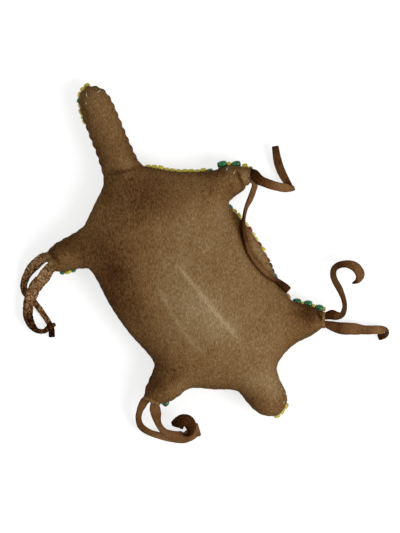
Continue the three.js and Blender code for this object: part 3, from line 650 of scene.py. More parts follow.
HIDE = suede("smoked_hide", [(56, 30, 12), (95, 63, 34), (134, 100, 60), (160, 132, 93),
                             (192, 168, 130)])
STRAP = suede("strap_hide", [(30, 9, 1), (72, 40, 15), (118, 80, 47), (148, 108, 70),
                             (172, 140, 102)], nap=0.6, mottle=0.45)
ROUGH_STRAP = suede("frayed_strap_hide", [(30, 9, 1), (76, 43, 18), (124, 86, 52),
                                          (172, 134, 94), (212, 178, 136)], nap=1.2, mottle=0.5,
                    cracks=0.5)
YELLOW = bead_glass("greasy_yellow_beads", (226, 208, 44), (190, 160, 30))
GREEN = bead_glass("green_beads", (8, 118, 58), (2, 60, 32))
TEAL = bead_glass("teal_beads", (30, 128, 130), (12, 84, 92))
PALE = bead_glass("pale_yellow_beads", (238, 226, 140), (214, 194, 92))
RED = bead_glass("brick_red_beads", (158, 54, 22), (104, 30, 12), 0.35, 0.2)
DARK = bead_glass("dark_beads", (58, 36, 20), (30, 18, 10), 0.5, 0.15)
SINEW = sinew_thread("tan_sinew", (104, 80, 52), (168, 138, 98))
SMOKED_SINEW = sinew_thread("smoked_sinew", (54, 34, 16), (98, 68, 38))
WHITE_SINEW = sinew_thread("pale_sinew", (206, 198, 178), (244, 240, 228))
AMBER = bead_glass("amber_beads", (196, 130, 26), (136, 78, 12))
BEAD_MATERIALS = [YELLOW, GREEN, TEAL, PALE, RED, DARK, AMBER, SINEW]
THREAD = 7
COLOURS = {"yellow": 0, "green": 1, "teal": 2, "pale": 3, "red": 4, "dark": 5, "amber": 6}


# The pouch


def past_mouth(p, name, margin=0.0):
    """Which points lie past a leg's mouth, or within a margin of it, and near its end. Also how
    far past it each point is."""
    limb = LIMBS[name]
    out = (p - limb["root"]) @ limb["ahead"] - limb["length"]
    reach = np.linalg.norm(p - on_limb(limb, limb["length"]), axis=1)
    return (out > -margin) & (reach < MOUTH_REACH), out


def pouch_outline():
    """The seam with each leg's tip cut off square. A cut is a straight row of points, each
    marked with its leg's number; points on the seam are marked -1."""
    points, mark = seam, np.full(len(seam), -1)
    for number, name in enumerate(LEGS):
        beyond, out = past_mouth(points, name)
        first = np.flatnonzero(beyond & ~np.roll(beyond, 1))[0]
        points, mark, out, beyond = (np.roll(v, -first, axis=0)
                                     for v in (points, mark, out, beyond))
        count = beyond.sum()
        start = points[-1] + (points[0] - points[-1]) * out[-1] / (out[-1] - out[0])
        last, after = points[count - 1], points[count]
        end = last + (after - last) * out[count - 1] / (out[count - 1] - out[count])
        steps = round(np.linalg.norm(end - start) / 0.5)
        cut = start + np.linspace(0, 1, steps + 1)[:, None] * (end - start)
        points = np.vstack([cut, points[count:]])
        mark = np.concatenate([[-1], np.full(steps - 1, number), [-1], mark[count:]])
    return points, mark


def gaps_to(p, others, pick):
    """For each point, what pick (least or place of the least) makes of its distances to the
    others."""
    return np.concatenate([
        pick(np.hypot(q[:, :1] - others[:, 0], q[:, 1:] - others[:, 1]), axis=1)
        for q in np.array_split(p, max(1, len(p) // 2000))])


def pouch_points(outline, mark, step):
    """Places for the sheets' points: rings just inside the seam, then an even triangular grid."""
    inward = -to_right(unit(np.roll(outline, -1, 0) - np.roll(outline, 1, 0)))
    kept = outline
    on_seam = mark < 0
    for inset in (0.12, 0.35, 0.75, 1.3):
        ring = (outline + inward * inset)[on_seam][::1 if inset < 0.7 else 2]
        ring = ring[inside_cut(ring, 0.4)]
        ring = ring[gaps_to(ring, outline, np.min) > 0.85 * inset]
        kept = np.vstack([kept, ring])
    rows = np.arange(-82, 66, step * math.sqrt(0.75))
    columns = np.arange(-44, 46, step)
    x, y = np.meshgrid(columns, rows)
    x = x + (np.arange(len(rows)) % 2)[:, None] * step / 2
    grid = np.column_stack([x.ravel(), y.ravel()])
    grid = grid[inside_seam(grid)]
    grid = grid[inside_cut(grid, 0.3)]
    grid = grid[gaps_to(grid, kept, np.min) > 0.62 * step]
    return np.vstack([kept, grid])


def inside_cut(p, margin):
    """Which points lie behind every leg's mouth by a margin."""
    return ~np.any([past_mouth(p, name, margin)[0] for name in LEGS], axis=0)


def leg_ridge(p, name, places, width):
    """A soft ridge along a line given as distances out and to the left in a leg's frame."""
    line = spline([on_limb(LIMBS[name], out, left) for out, left in places], 6)
    gap, place = gap_to_line(p, line)
    fade = np.clip(np.minimum(place * 3, (1 - place) * 8), 0, 1)
    return np.exp(-((gap / width) ** 2)) * fade


# The belly's marks, in the photograph's pixels. A ridge has its strength, its line and its width
# in mm. A blot has its strength, its place, its half widths in mm and its turn.
TAIL_CREASE = [(108, 175), (118, 173), (129, 170.5), (140, 166.5)]
FLANK_CREASE = [(240, 222), (244, 236), (249, 252), (256, 262), (264, 272), (273, 281)]
SHOULDER_CREASE = [(232, 208), (239, 230), (244, 244)]
HIND_FOLD = [(237, 172), (240, 178), (244, 186)]
FORE_FOLD = [(317, 311), (323, 321), (329, 333)]
# Two long ridges that run down the belly: raised in the relief, with a painted highlight along each
# in the tone
LEFT_RIDGE = [(153, 277), (170, 310), (187, 337), (203, 353), (213, 363)]
RIGHT_RIDGE = [(170, 257), (187, 277), (203, 297), (220, 318), (237, 337), (243, 347)]
RELIEF_RIDGES = [
    (-0.4, TAIL_CREASE, 0.8), (-0.5, SHOULDER_CREASE, 1.5), (-0.6, FLANK_CREASE, 1.4),
    (-0.5, [(58, 240), (54, 250), (55, 262)], 0.9), (0.22, LEFT_RIDGE, 1), (0.3, RIGHT_RIDGE, 1.1),
    (-0.45, HIND_FOLD, 0.7), (-0.45, FORE_FOLD, 0.7),
]
# Painted shade in the creases and folds, down the belly's left side and along the tail's left edge;
# painted highlights along the two ridges, on the tail's right side and in a thin line by the hind
# left leg's crease
LIGHT_SHADE_AND_TONE_RIDGES = [
    (0.3, LEFT_RIDGE, 0.7), (0.45, RIGHT_RIDGE, 0.8),
    (-0.3, [(100, 225), (118, 275), (140, 322), (160, 355), (188, 372)], 5.5),
    (0.05, [(97, 95), (107, 122), (116, 148), (124, 166)], 3.2),
    (-0.25, [(83, 100), (90, 128), (102, 165)], 2),
    (-0.35, [(195, 172), (212, 174), (230, 168)], 2),
    (-0.9, HIND_FOLD, 0.55), (-0.9, FORE_FOLD, 0.6), (0.7, [(62, 249), (66, 252), (70, 255)], 0.25),
    (-0.6, [(50, 246), (53, 255), (60, 264)], 0.5), (-0.25, [(82, 245), (84, 257), (83, 270)], 0.6),
    (-0.4, TAIL_CREASE, 0.7), (-0.8, FLANK_CREASE, 1.3), (-0.5, SHOULDER_CREASE, 1.2),
]
# Patches of painted light and shade mixed with the hide's own uneven tone: lighter over the lower
# right, which faces the key lamp, and on the lips beside the leg folds; darker over the upper and
# left parts and at the leg bases
LIGHT_SHADE_AND_TONE_BLOTS = [
    (0.34, 214, 322, 17, 8, 0.89), (0.15, 186, 300, 14, 8, 0.89), (0.15, 225, 215, 6, 9),
    (0.1, 190, 232, 12, 8), (-0.35, 152, 195, 17, 11), (-0.35, 108, 290, 8, 22),
    (0.3, 128, 164, 4, 3), (0.16, 222, 300, 22, 34), (-0.35, 253, 402, 7, 5),
    (0.3, 268, 384, 7, 6), (-0.45, 68, 246, 9, 6), (0.3, 82, 262, 9, 4), (-0.6, 159, 384, 8, 7),
    (0.35, 178, 392, 5, 4), (-0.25, 225, 187, 9, 5), (-0.4, 86, 261, 7, 4),
    (-0.5, 308, 313, 5, 5), (0.5, 244, 178, 1.3, 2.4), (0.35, 260, 250, 2.5, 13, -0.6),
    (0.5, 328, 325, 1.2, 2.4), (0.1, 235, 260, 8, 12),
]
# Two folds run along each leg, the first as distances out and to the left
LEG_FOLDS = {
    "hind_right": [(-2, -1), (10.6, -1)], "fore_right": [(-6, 3), (10.6, 0.8)],
    "hind_left": [(-3, 2.5), (13.4, 1.2)], "fore_left": [(-5, 2.4), (10, 1)],
}


def belly_relief(p, depth):
    """What the belly adds to its plain bulge, in mm: slow unevenness, puckers that run in from
    each stitch and die away, and creases at the tail, the legs and the right flank."""
    inner = 1 - np.exp(-((depth / 5) ** 2))
    relief = inner * (0.32 * waves(p, 30, 3) + 0.1 * waves(p, 10, 4)) + 0.03 * waves(p, 3, 5)
    phase = np.pi * seam_run[gaps_to(p, seam, np.argmin)] * STITCHES / SEAM_LENGTH
    relief -= 0.3 * (1 - np.abs(np.sin(phase))) * np.exp(-depth / 1.3) * np.tanh(depth / 0.2)
    relief += marks(p, RELIEF_RIDGES)
    for name, places in LEG_FOLDS.items():
        relief -= 0.55 * leg_ridge(p, name, places, 1.0)
        shifted = [(out * 0.8, left - 3.4 + 0.02 * out) for out, left in places]
        relief -= 0.35 * leg_ridge(p, name, shifted, 0.9)
    return relief


def belly_z(p):
    """The belly's height: the seam's, the plain bulge and the relief."""
    depth = depth_inside(p)
    return seam_z(p) + crown(depth) + belly_relief(p, depth)


def belly_light_shade_and_tone(p, depth):
    """The belly's tone, 0 being the middle tone: darker towards the seam, painted shade in the
    creases and over the side turned from the key lamp, painted highlights along the ridges and
    over the side turned to it, and slow random unevenness."""
    plain = -0.3 * np.exp(-depth / 1.4) + 0.14 * waves(p, 40, 8)
    return plain + marks(p, LIGHT_SHADE_AND_TONE_RIDGES, LIGHT_SHADE_AND_TONE_BLOTS)


# How far each leg's mouth is gathered out past its sleeve, in mm
CUFFS = {"hind_right": 1, "fore_right": 1.2, "hind_left": 1.5, "fore_left": 1.4}
# How far a leg's mouth runs ahead for each millimetre to its left
SLANT = {"hind_right": 0.4, "fore_left": -0.15}


def gathered(points, slant=1.0):
    """Draws the last 3.5 mm of each leg in towards its thongs: by up to a fifth in width and a
    quarter in height, growing with the square of the distance, and slants its mouth."""
    points = np.array(points, float)
    flat = points.reshape(-1, 3)
    for name in LEGS:
        limb = LIMBS[name]
        offset = flat[:, :2] - limb["root"]
        out = offset @ limb["ahead"] - limb["length"]
        left = offset @ limb["leftward"] - limb["mouth"]
        share = np.where(np.hypot(out, left) < 9, np.clip(out / 3.5 + 1, 0, 1) ** 2, 0)
        flat[:, :2] -= (0.2 * share * left)[:, None] * limb["leftward"]
        flat[:, :2] += (slant * SLANT.get(name, 0) * share * left)[:, None] * limb["ahead"]
        flat[:, 2] -= 0.25 * share * (flat[:, 2] - seam_z(flat[:, :2]))
    return flat.reshape(points.shape)


def sleeve_liner(rim, name):
    """Rings that gather the hide round the thongs at a leg's mouth. Over a quarter turn t the
    rim goes out along the leg by the cuff's length times sin t, and passes by 1 - cos t into
    a flat rounded oblong that holds the thongs, with eight folds. Then it turns in and closes to
    a slit. Also returns the rings' tone: painted shade that deepens into the mouth, and painted
    light and shade on the folds."""
    limb = LIMBS[name]
    ahead = np.array([*limb["ahead"], 0])
    leftward = np.array([*limb["leftward"], 0])
    middle = (rim.max(axis=0) + rim.min(axis=0)) / 2
    across, rise = (rim - middle) @ leftward, rim[:, 2] - middle[2]
    out = (rim - middle) @ ahead
    wide, high = np.abs(across).max(), np.abs(rise).max()
    grip = limb["mouth_width"] / 2 - 0.95
    angle = np.arctan2(rise / high, across / wide)
    level = seam_z(on_limb(limb, limb["length"])) - middle[2]
    flat = blunt(np.cos(angle), 0.6) * grip
    thick = level + blunt(np.sin(angle), 0.6) * 0.86
    folds = np.cos(8 * angle + 1.3)
    rings, tones = [], []

    def ring(share, push, shrink, tone, fold):
        wave = 1 + 0.07 * fold * folds
        rings.append(middle + np.outer(out + push, ahead)
                     + np.outer((across * (1 - share) + flat * share * shrink) * wave, leftward)
                     + np.outer((rise * (1 - share) + thick * share * shrink) * wave, [0, 0, 1]))
        # The folds are painted lighter on their crests and darker in their hollows
        tones.append(tone + 0.3 * fold * folds)

    # Painted shade that deepens as the rim turns in towards the mouth
    for turn, tone in ((12, 0), (26, 0), (40, 0), (54, 0), (68, -0.15), (80, -0.4), (90, -0.8)):
        t = math.radians(turn)
        ring(1 - math.cos(t), CUFFS[name] * math.sin(t), 1, tone, math.sin(2 * t))
    # Painted shade inside the mouth, darkest at the slit
    for push, shrink, tone in ((-0.3, 0.95, -1.3), (-1.2, 0.92, -1.8), (-3.6, 0.9, -2),
                               (-4.6, 0.7, -2)):
        ring(1, CUFFS[name] + push, shrink, tone, 0)
    return np.array(rings), np.concatenate(tones)


def make_pouch():
    """Belly and back sheets over one set of places, joined along the seam and turned in at
    the four mouths."""
    outline, mark = pouch_outline()
    places = pouch_points(outline, mark, SHEET_STEP)
    count, total = len(outline), len(places)
    rim = [list(range(count))]
    flat = delaunay_2d_cdt([tuple(p) for p in places], [], rim, 1, 1e-6, False)
    triangles = np.array([face for face in flat[2] if len(face) == 3])
    places = np.array([tuple(p) for p in flat[0]])
    triangles = triangles[inside_seam(places[triangles].mean(axis=1), outline)]
    a, b, c = (places[triangles[:, k]] for k in range(3))
    turn = (b[:, 0] - a[:, 0]) * (c[:, 1] - a[:, 1]) - (b[:, 1] - a[:, 1]) * (c[:, 0] - a[:, 0])
    triangles[turn < 0] = triangles[turn < 0][:, ::-1]

    depth = depth_inside(places)
    plain = crown(depth)
    base = seam_z(places)
    on_seam = np.zeros(total, bool)
    on_seam[:count] = mark < 0
    top = np.where(on_seam, base, base + plain + belly_relief(places, depth))
    low = back_z(places, plain)
    back_index = np.where(on_seam, np.arange(total), 0)
    own = np.flatnonzero(~on_seam)
    back_index[own] = total + np.arange(len(own))
    points = gathered(np.vstack([np.column_stack([places, top]),
                                 np.column_stack([places, low])[own]]))
    tone = belly_light_shade_and_tone(places, depth)
    tone = np.concatenate([tone, tone[own] - 0.2])
    back = back_index[triangles][:, ::-1]

    new_points, quads, base_index = [points], [], len(points)
    tones = [tone]
    for number, name in enumerate(LEGS):
        row = np.flatnonzero(mark == number)
        loop_ids = np.concatenate([[row[0] - 1], row, [(row[-1] + 1) % count],
                                   back_index[row][::-1]])
        rings, ring_shade_tones = sleeve_liner(points[loop_ids], name)
        sides = len(loop_ids)
        ids = base_index + np.arange(rings.shape[0] * sides).reshape(-1, sides)
        ids = np.vstack([loop_ids, ids])
        quads.append(np.stack([ids[:-1], np.roll(ids[:-1], -1, 1), np.roll(ids[1:], -1, 1),
                               ids[1:]], -1).reshape(-1, 4))
        last = ids[-1]
        half = sides // 2
        j = np.arange(half - 1)
        quads.append(np.column_stack([last[j], last[j + 1], last[sides - 2 - j],
                                      last[sides - 1 - j]]))
        new_points.append(rings.reshape(-1, 3))
        tones.append(ring_shade_tones)
        base_index += rings.shape[0] * sides
    # The second patch adds faces only, so they count their corners back from the first one's end
    pouch = new_piece("hide_pouch_skin", [
        (np.vstack(new_points), np.vstack([triangles, back]), 0),
        ([], np.vstack(quads) - base_index, 0),
    ], [HIDE], {"tone": np.concatenate(tones)})
    face_outward(pouch)
    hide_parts("hide_pouch")


# The thongs


def thong_stations(leg, name):
    """A thong's middle line with its width and twist: from its root straight out of the
    sleeve, then through its route's points on a smooth curve."""
    limb = LIMBS[leg]
    pair = [key for key in THONGS if key[0] == leg]
    width = (limb["mouth_width"] - 2 - 3 * CLEARANCE) / 2
    side = (width + CLEARANCE) / 2
    first_is_right = THONGS[pair[0]][0][1] < THONGS[pair[1]][0][1]
    if (pair[0][1] == name) == first_is_right:
        side = -side
    straight = [[out, limb["mouth"] + side, 1, width, 0]
                for out in (-SLEEVE_DEPTH + ROOT_INSET, 0, 0.8)]
    route = np.array(straight + THONGS[leg, name], float)
    out, left, height, wide, twist = route.T
    half = THONG_THICKNESS / 2
    place = on_limb(limb, limb["length"] + out, left)
    top = seam_z(on_limb(limb, limb["length"]))
    standing = half + (wide / 2 - half) * np.abs(np.sin(np.radians(twist)))
    z = np.maximum(standing, half + (top - half) * height)
    over = (out < -1) & (left < -5) & inside_seam(place)
    if over.any():
        z[over] = belly_z(place[over]) + 0.35 + 0.5 * standing[over]
    middle = spline(np.column_stack([place, z]), 12)
    t = np.arange(len(middle)) / 12
    return (middle, np.interp(t, np.arange(len(route)), wide),
            np.radians(np.interp(t, np.arange(len(route)), twist)))


def make_thong(leg, name, material, rough, seed):
    """A cut strip: an oblong section with soft corners carried along the thong's middle line,
    turned by its twist. Its edges wander by a few hundredths, more where the hide is frayed,
    and both ends are rounded off."""
    middle, wide, twist = thong_stations(leg, name)
    run = along(middle)
    lengths = np.linspace(0, run[-1], round(run[-1] / STRAP_STEP))
    random = np.random.default_rng(seed)
    middle = at_lengths(middle, lengths)
    wide, twist = np.interp(lengths, run, wide), np.interp(lengths, run, twist)
    forward = unit(np.gradient(middle, axis=0))
    flat = unit(np.cross(forward, [0, 0, 1]))
    up = unit(np.cross(flat, forward))
    across = flat * np.cos(twist)[:, None] + up * np.sin(twist)[:, None]
    thick = unit(np.cross(across, forward))
    sides = STRAP_SIDES
    turn = (np.arange(sides) + 0.5) * 2 * np.pi / sides
    u, v = blunt(np.cos(turn), 0.55), blunt(np.sin(turn), 0.75)
    edge = 1 + 0.05 * wander(lengths, 4, random) + 0.03 * wander(lengths, 1.3, random)
    ends = np.minimum(1, np.sqrt(np.clip((run[-1] - lengths) / STRAP_END, 0.02, 1)))
    half_wide = wide / 2 * edge * (0.8 + 0.2 * ends)
    half_thick = 0.47 * (1 + 0.1 * wander(lengths, 3, random)) * ends
    lumps = 1 + rough * random.uniform(-0.3, 0.3, (len(lengths), sides))
    curl = 0.16 * wander(lengths, 9, random)[:, None] * (u**2 - 0.4)
    points = (middle[:, None]
              + across[:, None] * (u * half_wide[:, None] * (1 + 0.4 * (lumps - 1)))[..., None]
              + thick[:, None] * (v * half_thick[:, None] * lumps + curl)[..., None])
    points[..., 2] = np.maximum(points[..., 2], 0.02)
    faces = ring_faces(len(lengths), sides)
    j = np.arange(sides // 2 - 1)
    cap = np.column_stack([j, j + 1, sides - 2 - j, sides - 1 - j])
    caps = np.vstack([cap[:, ::-1], cap + (len(lengths) - 1) * sides])
    # The tone along the run: the thong's own colour with its painted light and shade
    share, level = np.array(THONG_TONES_AND_SHADE[leg, name]).T
    tone = np.interp(lengths / run[-1], share, level) + 0.2 * wander(lengths, 5, random)
    tone = tone[:, None] - 0.5 * np.clip(-v, 0, 1) - 0.4 * np.abs(u) ** 6
    piece = new_piece(f"thong_{leg}_{name}_strip", [(points, np.vstack([faces, caps]), 0)],
                      [material], {"tone": tone.ravel()})
    face_outward(piece)
    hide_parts(f"thong_{leg}_{name}")


def wander(lengths, size, random):
    """A smooth random value about 0 that changes over size mm along a strip."""
    knots = np.arange(0, lengths[-1] + 2 * size, size)
    values = random.uniform(-1, 1, len(knots))
    at = lengths / size
    low = np.floor(at).astype(int)
    share = at - low
    share = share * share * (3 - 2 * share)
    return values[low] * (1 - share) + values[low + 1] * share


# The beadwork


def bead_piece(node, patches):
    """The beads and threads that stand for one node."""
    piece = new_piece(f"{node}_beads", patches, BEAD_MATERIALS)
    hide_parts(node)


def strung(path, pitch):
    """Places for beads along a line, evenly spaced at about pitch, and the line's direction."""
    run = along(path)
    count = max(2, round(run[-1] / pitch))
    lengths = (np.arange(count) + 0.5) * run[-1] / count
    places = at_lengths(path, lengths)
    ahead = at_lengths(path, lengths + 0.2) - at_lengths(path, lengths - 0.2)
    return places, unit(ahead), run[-1] / count


def reach_of_lane(x, direction):
    """How far a lane reaches along the shell before it comes too near the seam."""
    y = np.arange(1, 22) * LANE_PITCH * direction
    p = np.column_stack([x - SHELL_LEAN * y, y])
    near = ~inside_seam(p) | (depth_inside(p) < 3)
    steps = np.argmax(near) if near.any() else len(y)
    return min(steps * LANE_PITCH, SHELL_LENGTH / 2 - 6)


def pattern_colour(lane, row, rows, k):
    """The back's plain design: yellow ground, with a green bar, a pair of red and dark rows
    near each end of a lane, and a teal block on its middle."""
    place = np.minimum(row, rows - 1 - row)
    colour = np.zeros_like(row)
    colour[(place == 3) | (place == 4)] = COLOURS["green"]
    colour[place == 7] = COLOURS["red"]
    colour[place == 8] = COLOURS["dark"]
    centre, aside = np.abs(row - (rows - 1) / 2), np.abs(k - (ROW_BEADS - 1) / 2)
    block = (centre < 3) & (aside < 2) if lane % 2 == 0 else (centre < 1.2)
    colour[block] = COLOURS["teal"]
    colour[(centre < 1.2) & (aside < 1)] = COLOURS["pale"]
    return colour


def make_shell_lane(lane):
    """Rows of six beads lie across a lane, each row on one thread. Bead centres sit off the
    hide by the stand and half a bead, and the lowest rest on the table."""
    offset = (lane - 2) * (LANE_WIDTH + LANE_GAP)
    edges = np.array([offset - LANE_WIDTH / 2, offset + LANE_WIDTH / 2])
    end = min(reach_of_lane(x, 1) for x in edges)
    start = -min(reach_of_lane(x, -1) for x in edges)
    rows = round((end - start) / LANE_PITCH)
    y = start + (np.arange(rows) + 0.5) * (end - start) / rows
    random = np.random.default_rng(20 + lane)

    def place(x, y, away):
        p = np.stack(np.broadcast_arrays(x - SHELL_LEAN * y, y), -1)
        z = back_z(p) - LANE_STAND - away
        return np.concatenate([p, np.maximum(z, 1.0)[..., None]], -1)

    share = (np.arange(ROW_BEADS) + 0.5) / ROW_BEADS
    x = edges[0] + share * LANE_WIDTH
    centres = place(x[None], y[:, None], LANE_BEAD / 2)
    axis = unit(np.gradient(centres, axis=1))
    lengthwise = unit(np.gradient(centres, axis=0))
    out = unit(np.cross(axis, lengthwise))
    out *= -np.sign(out[..., 2:])
    centres = centres.reshape(-1, 3)
    centres[:, 1] += random.uniform(-0.05, 0.05, len(centres))
    row, k = np.divmod(np.arange(rows * ROW_BEADS), ROW_BEADS)
    colours = pattern_colour(lane, row, rows, k)
    size = random.uniform(0.94, 1.0, len(centres))
    axis, out = axis.reshape(-1, 3), out.reshape(-1, 3)
    patches = colour_patches(colours, centres, axis, out, BEAD_ACROSS * size,
                             BEAD_HEIGHT * size, 1.36)
    ends = place(edges[None] + [-0.1, 0.1], y[:, None], LANE_BEAD / 2)
    inner = place(edges[None] + [0.35, -0.35], y[:, None], -0.8)
    inner[..., 2] = np.maximum(inner[..., 2], 2.2)
    line = place(x[None, [0, -1]], y[:, None], LANE_BEAD / 2)
    paths = np.stack([inner[:, 0], ends[:, 0], line[:, 0], line[:, 1], ends[:, 1], inner[:, 1]], 1)
    patches.append((*tubes(paths, ROW_THREAD), THREAD))
    bead_piece(f"bead_lane_shell_{lane + 1}", patches)


def colour_patches(colours, centres, axes, out, across, height, length):
    """One patch of beads for each colour that a row or lane uses."""
    across, height, length = (np.broadcast_to(v, len(centres)) for v in (across, height, length))
    patches = []
    for colour in np.unique(colours):
        pick = colours == colour
        patches.append(beads(centres[pick], axes[pick], out[pick], across[pick], height[pick],
                             length[pick], int(colour)))
    return patches


def half_width(limb, out, side):
    """Distance from a limb's middle line to the seam, on its left (1) or right (-1)."""
    reach = np.arange(0, 28, 0.05)
    inside = inside_seam(on_limb(limb, out, side * reach))
    return reach[np.argmin(inside)]


def round_back(limb, out, away, angles):
    """Points round a limb's back at a distance out, from its left edge (0) to its right edge
    (pi), pushed off the hide along the section's outward normal."""
    left = half_width(limb, out, 1)
    right = min(half_width(limb, out, -1), limb.get("row_reach", np.inf))

    def skin(angle):
        turn = np.clip(angle, 0.02, math.pi - 0.02)
        p = on_limb(limb, out, (left - right) / 2 + (left + right) / 2 * np.cos(turn))
        return np.column_stack([p, back_z(p)])

    angles = np.asarray(angles, float)
    run = unit(skin(angles + 0.06) - skin(angles - 0.06))
    outward = unit(np.cross([*limb["ahead"], 0], run))
    return skin(angles) + outward * away, outward


def row_on_limb(limb, out, start, end, away, pitch):
    """Bead places for one row round a limb's back, with their outward directions."""
    angles = np.linspace(start, end, 50)
    line, outward = round_back(limb, out, away, angles)
    places, ahead, gap = strung(line, pitch)
    run = along(line)
    lengths = (np.arange(len(places)) + 0.5) * gap
    out_here = np.column_stack([np.interp(lengths, run, column) for column in outward.T])
    thread = at_lengths(line, np.linspace(0.02, 0.98, 8) * run[-1])
    return places, ahead, unit(out_here), gap, thread


def make_limb_lane(name, free, taper=0.0):
    """The lane over the tail or the head: rows of beads across it, every 2 mm along it. It
    leaves the same angle free at both edges, which grows by the taper towards the tip."""
    limb = LIMBS[name]
    last = limb["length"] - 2.2
    rows = round((last - 0.5) / LANE_PITCH)
    patches, threads = [], []
    for row in range(rows):
        share = (row + 0.5) / rows
        start = free + taper * share
        places, ahead, out, gap, thread = row_on_limb(
            limb, 0.5 + share * (last - 0.5), start, math.pi - start,
            LANE_STAND + LANE_BEAD / 2, 1.43)
        k = np.arange(len(places))
        colours = np.zeros(len(places), int)
        if row % 5 == 2:
            colours[:] = COLOURS["green"]
        if row % 5 == 4:
            colours[(k > 1) & (k < len(k) - 2)] = COLOURS["red"]
        patches += colour_patches(colours, places, ahead, out, BEAD_ACROSS, BEAD_HEIGHT,
                                  gap * 0.95)
        threads.append(thread)
    patches.append((*tubes(np.array(threads), ROW_THREAD), THREAD))
    return patches


def make_leg_rows(leg, first, spread, start, tucked, longs, extra=()):
    """Rows round the back of a leg: big green beads and small yellow ones by turns. The first
    rows, as many as are tucked, start further round, out of sight. The first two beads of each
    row lie along the leg, and longs gives their length in green and in yellow. A row's first
    angle round the back is start, given for green, for yellow and as its change from one row
    to the next. Extra yellow beads, at pixels of the photograph, belong to the last row."""
    limb = LIMBS[leg]
    ahead_of_leg = np.array([*limb["ahead"], 0])
    pitch = LEG_BEADS["green"][1] + LEG_BEADS["yellow"][1] + 0.22 + spread
    for i in range(10):
        kind, other = ("yellow", "green") if i % 2 else ("green", "yellow")
        size, half, step = LEG_BEADS[kind]
        out_here = first + i * pitch
        if out_here + half > limb["length"]:
            break
        places, ahead, out, gap, thread = row_on_limb(
            limb, out_here, 0.85 if i < tucked else start[i % 2] + start[2] * i,
            1.35 if out_here < 2.2 else 2.15, CLEARANCE + size / 2, step)
        places, thread = gathered(places, 0), gathered(thread, 0)
        turned = 0 if i < tucked else 2
        patches = [beads(places[turned:], ahead[turned:], out[turned:], size, size, gap * 0.98,
                         COLOURS[kind])]
        if turned:
            patches.append(beads(places[:2], np.tile(ahead_of_leg, (2, 1)), out[:2], size, size,
                                 longs[i % 2] * 1.06, COLOURS[kind], 1, 0.36))
        last = out_here + pitch + LEG_BEADS[other][1] > limb["length"]
        if last and len(extra):
            spots = np.array([seen(x, y) for x, y in extra])
            axes = np.tile(ahead_of_leg, (len(spots), 1))
            side = np.tile([*limb["leftward"], 0.3], (len(spots), 1))
            patches.append(beads(np.column_stack([spots, seam_z(spots) - 1.7]), axes,
                                 side, 1.9, 1.9, 2.1, COLOURS["yellow"], 1, 0.4))
        patches.append((*tubes(thread[None], ROW_THREAD), THREAD))
        bead_piece(f"bead_row_{leg}_{kind}_{i // 2 + 1}", patches)


def along_seam(start, end):
    """The seam between the places on it that are nearest to two points."""
    first, last = (np.argmin(np.linalg.norm(seam - p, axis=1)) for p in (start, end))
    pick = np.arange(first, last if last > first else last + len(seam)) % len(seam)
    return np.column_stack([seam[pick], seam_z(seam[pick])])


def make_seam_string(start, end, order):
    """Beads sewn close together along the seam, just under it. Each is given as its colour and
    how far its middle sits outside the seam: one further in hangs lower, down the back's slope.
    Sizes and places vary by a few hundredths."""
    places, ahead, gap = strung(along_seam(start, end), SEAM_PITCH)
    outward = to_right(ahead)
    count = len(places)
    names, outside = zip(*(order[i % len(order)] for i in range(count)))
    random = np.random.default_rng(count)
    outside = outside + random.uniform(-0.12, 0.12, count)
    size = SEAM_BEAD * random.uniform(0.92, 1.1, count)
    places[:, :2] += outward * outside[:, None]
    places[:, 2] -= 2.3 + 1.15 * (0.15 - outside)
    axes = unit(ahead + np.column_stack([outward * random.uniform(-0.3, 0.3, (count, 1)),
                                         random.uniform(-0.2, 0.2, count)]))
    side = np.column_stack([outward, np.full(count, -0.5)])
    codes = np.array([COLOURS[name] for name in names])
    patches = colour_patches(codes, places, axes, unit(side), size, size, gap * 0.98)
    thread = at_lengths(places, np.linspace(0, 1, 4 * count) * along(places)[-1])
    patches.append((*tubes(thread[None], 0.17), THREAD))
    return patches


# The right flank's string, from the fore leg to the hind leg
FLANK_BEADS = [("amber", -0.2), ("dark", -0.3), ("dark", -0.5), ("dark", -0.4), ("teal", -0.3),
               ("dark", -0.6), ("dark", -0.5), ("red", -0.45), ("red", -0.5), ("yellow", -0.1),
               ("red", -0.45), ("yellow", -0.3), ("pale", -0.2), ("red", -0.1), ("pale", -0.2),
               ("pale", -0.4), ("yellow", 0.2), ("yellow", 0.1), ("teal", -0.4)]


def make_seam_stitches():
    """Whip stitches over the seam: each thread leaves the belly a little way in, passes over
    the edge in the hollow between two puckers, and enters the back."""
    run = np.arange(STITCHES) * SEAM_LENGTH / STITCHES
    closed = np.vstack([seam, seam[:1]])
    lengths = np.append(seam_run, SEAM_LENGTH)
    p = np.column_stack([np.interp(run, lengths, column) for column in closed.T])
    q = np.column_stack([np.interp((run + 1) % SEAM_LENGTH, lengths, column)
                         for column in closed.T])
    inward = -to_right(unit(q - p))
    keep = inside_cut(p, 0.8)
    p, inward = p[keep], inward[keep]
    slant = to_right(inward)
    path = []
    for inset, top, shift in ((1.5, True, 0.5), (1.2, True, 0.4), (0.5, True, 0.2),
                              (-0.12, None, 0), (0.5, False, -0.2), (1.2, False, -0.4),
                              (1.5, False, -0.5)):
        place = p + inward * inset + slant * shift
        if top is None:
            z = seam_z(p)
        else:
            lift = -0.25 if inset == 1.5 else 0.1
            z = belly_z(place) + lift if top else back_z(place) - lift
        path.append(np.column_stack([place, z]))
    return gathered(np.stack(path, 1))


# White stitches that show on the belly, each from one pixel of the photograph to another
WHITE_STITCHES = [
    ((86.6, 92.5), (86.3, 97)), ((86.3, 102), (86, 104.5)), ((97, 93), (101, 89.5)),
    ((226, 171), (228.5, 166)), ((233, 174), (236, 170)), ((281, 387), (281.6, 390)),
    ((285, 392.5), (285.2, 396)), ((284.2, 400.5), (283.6, 404)),
]


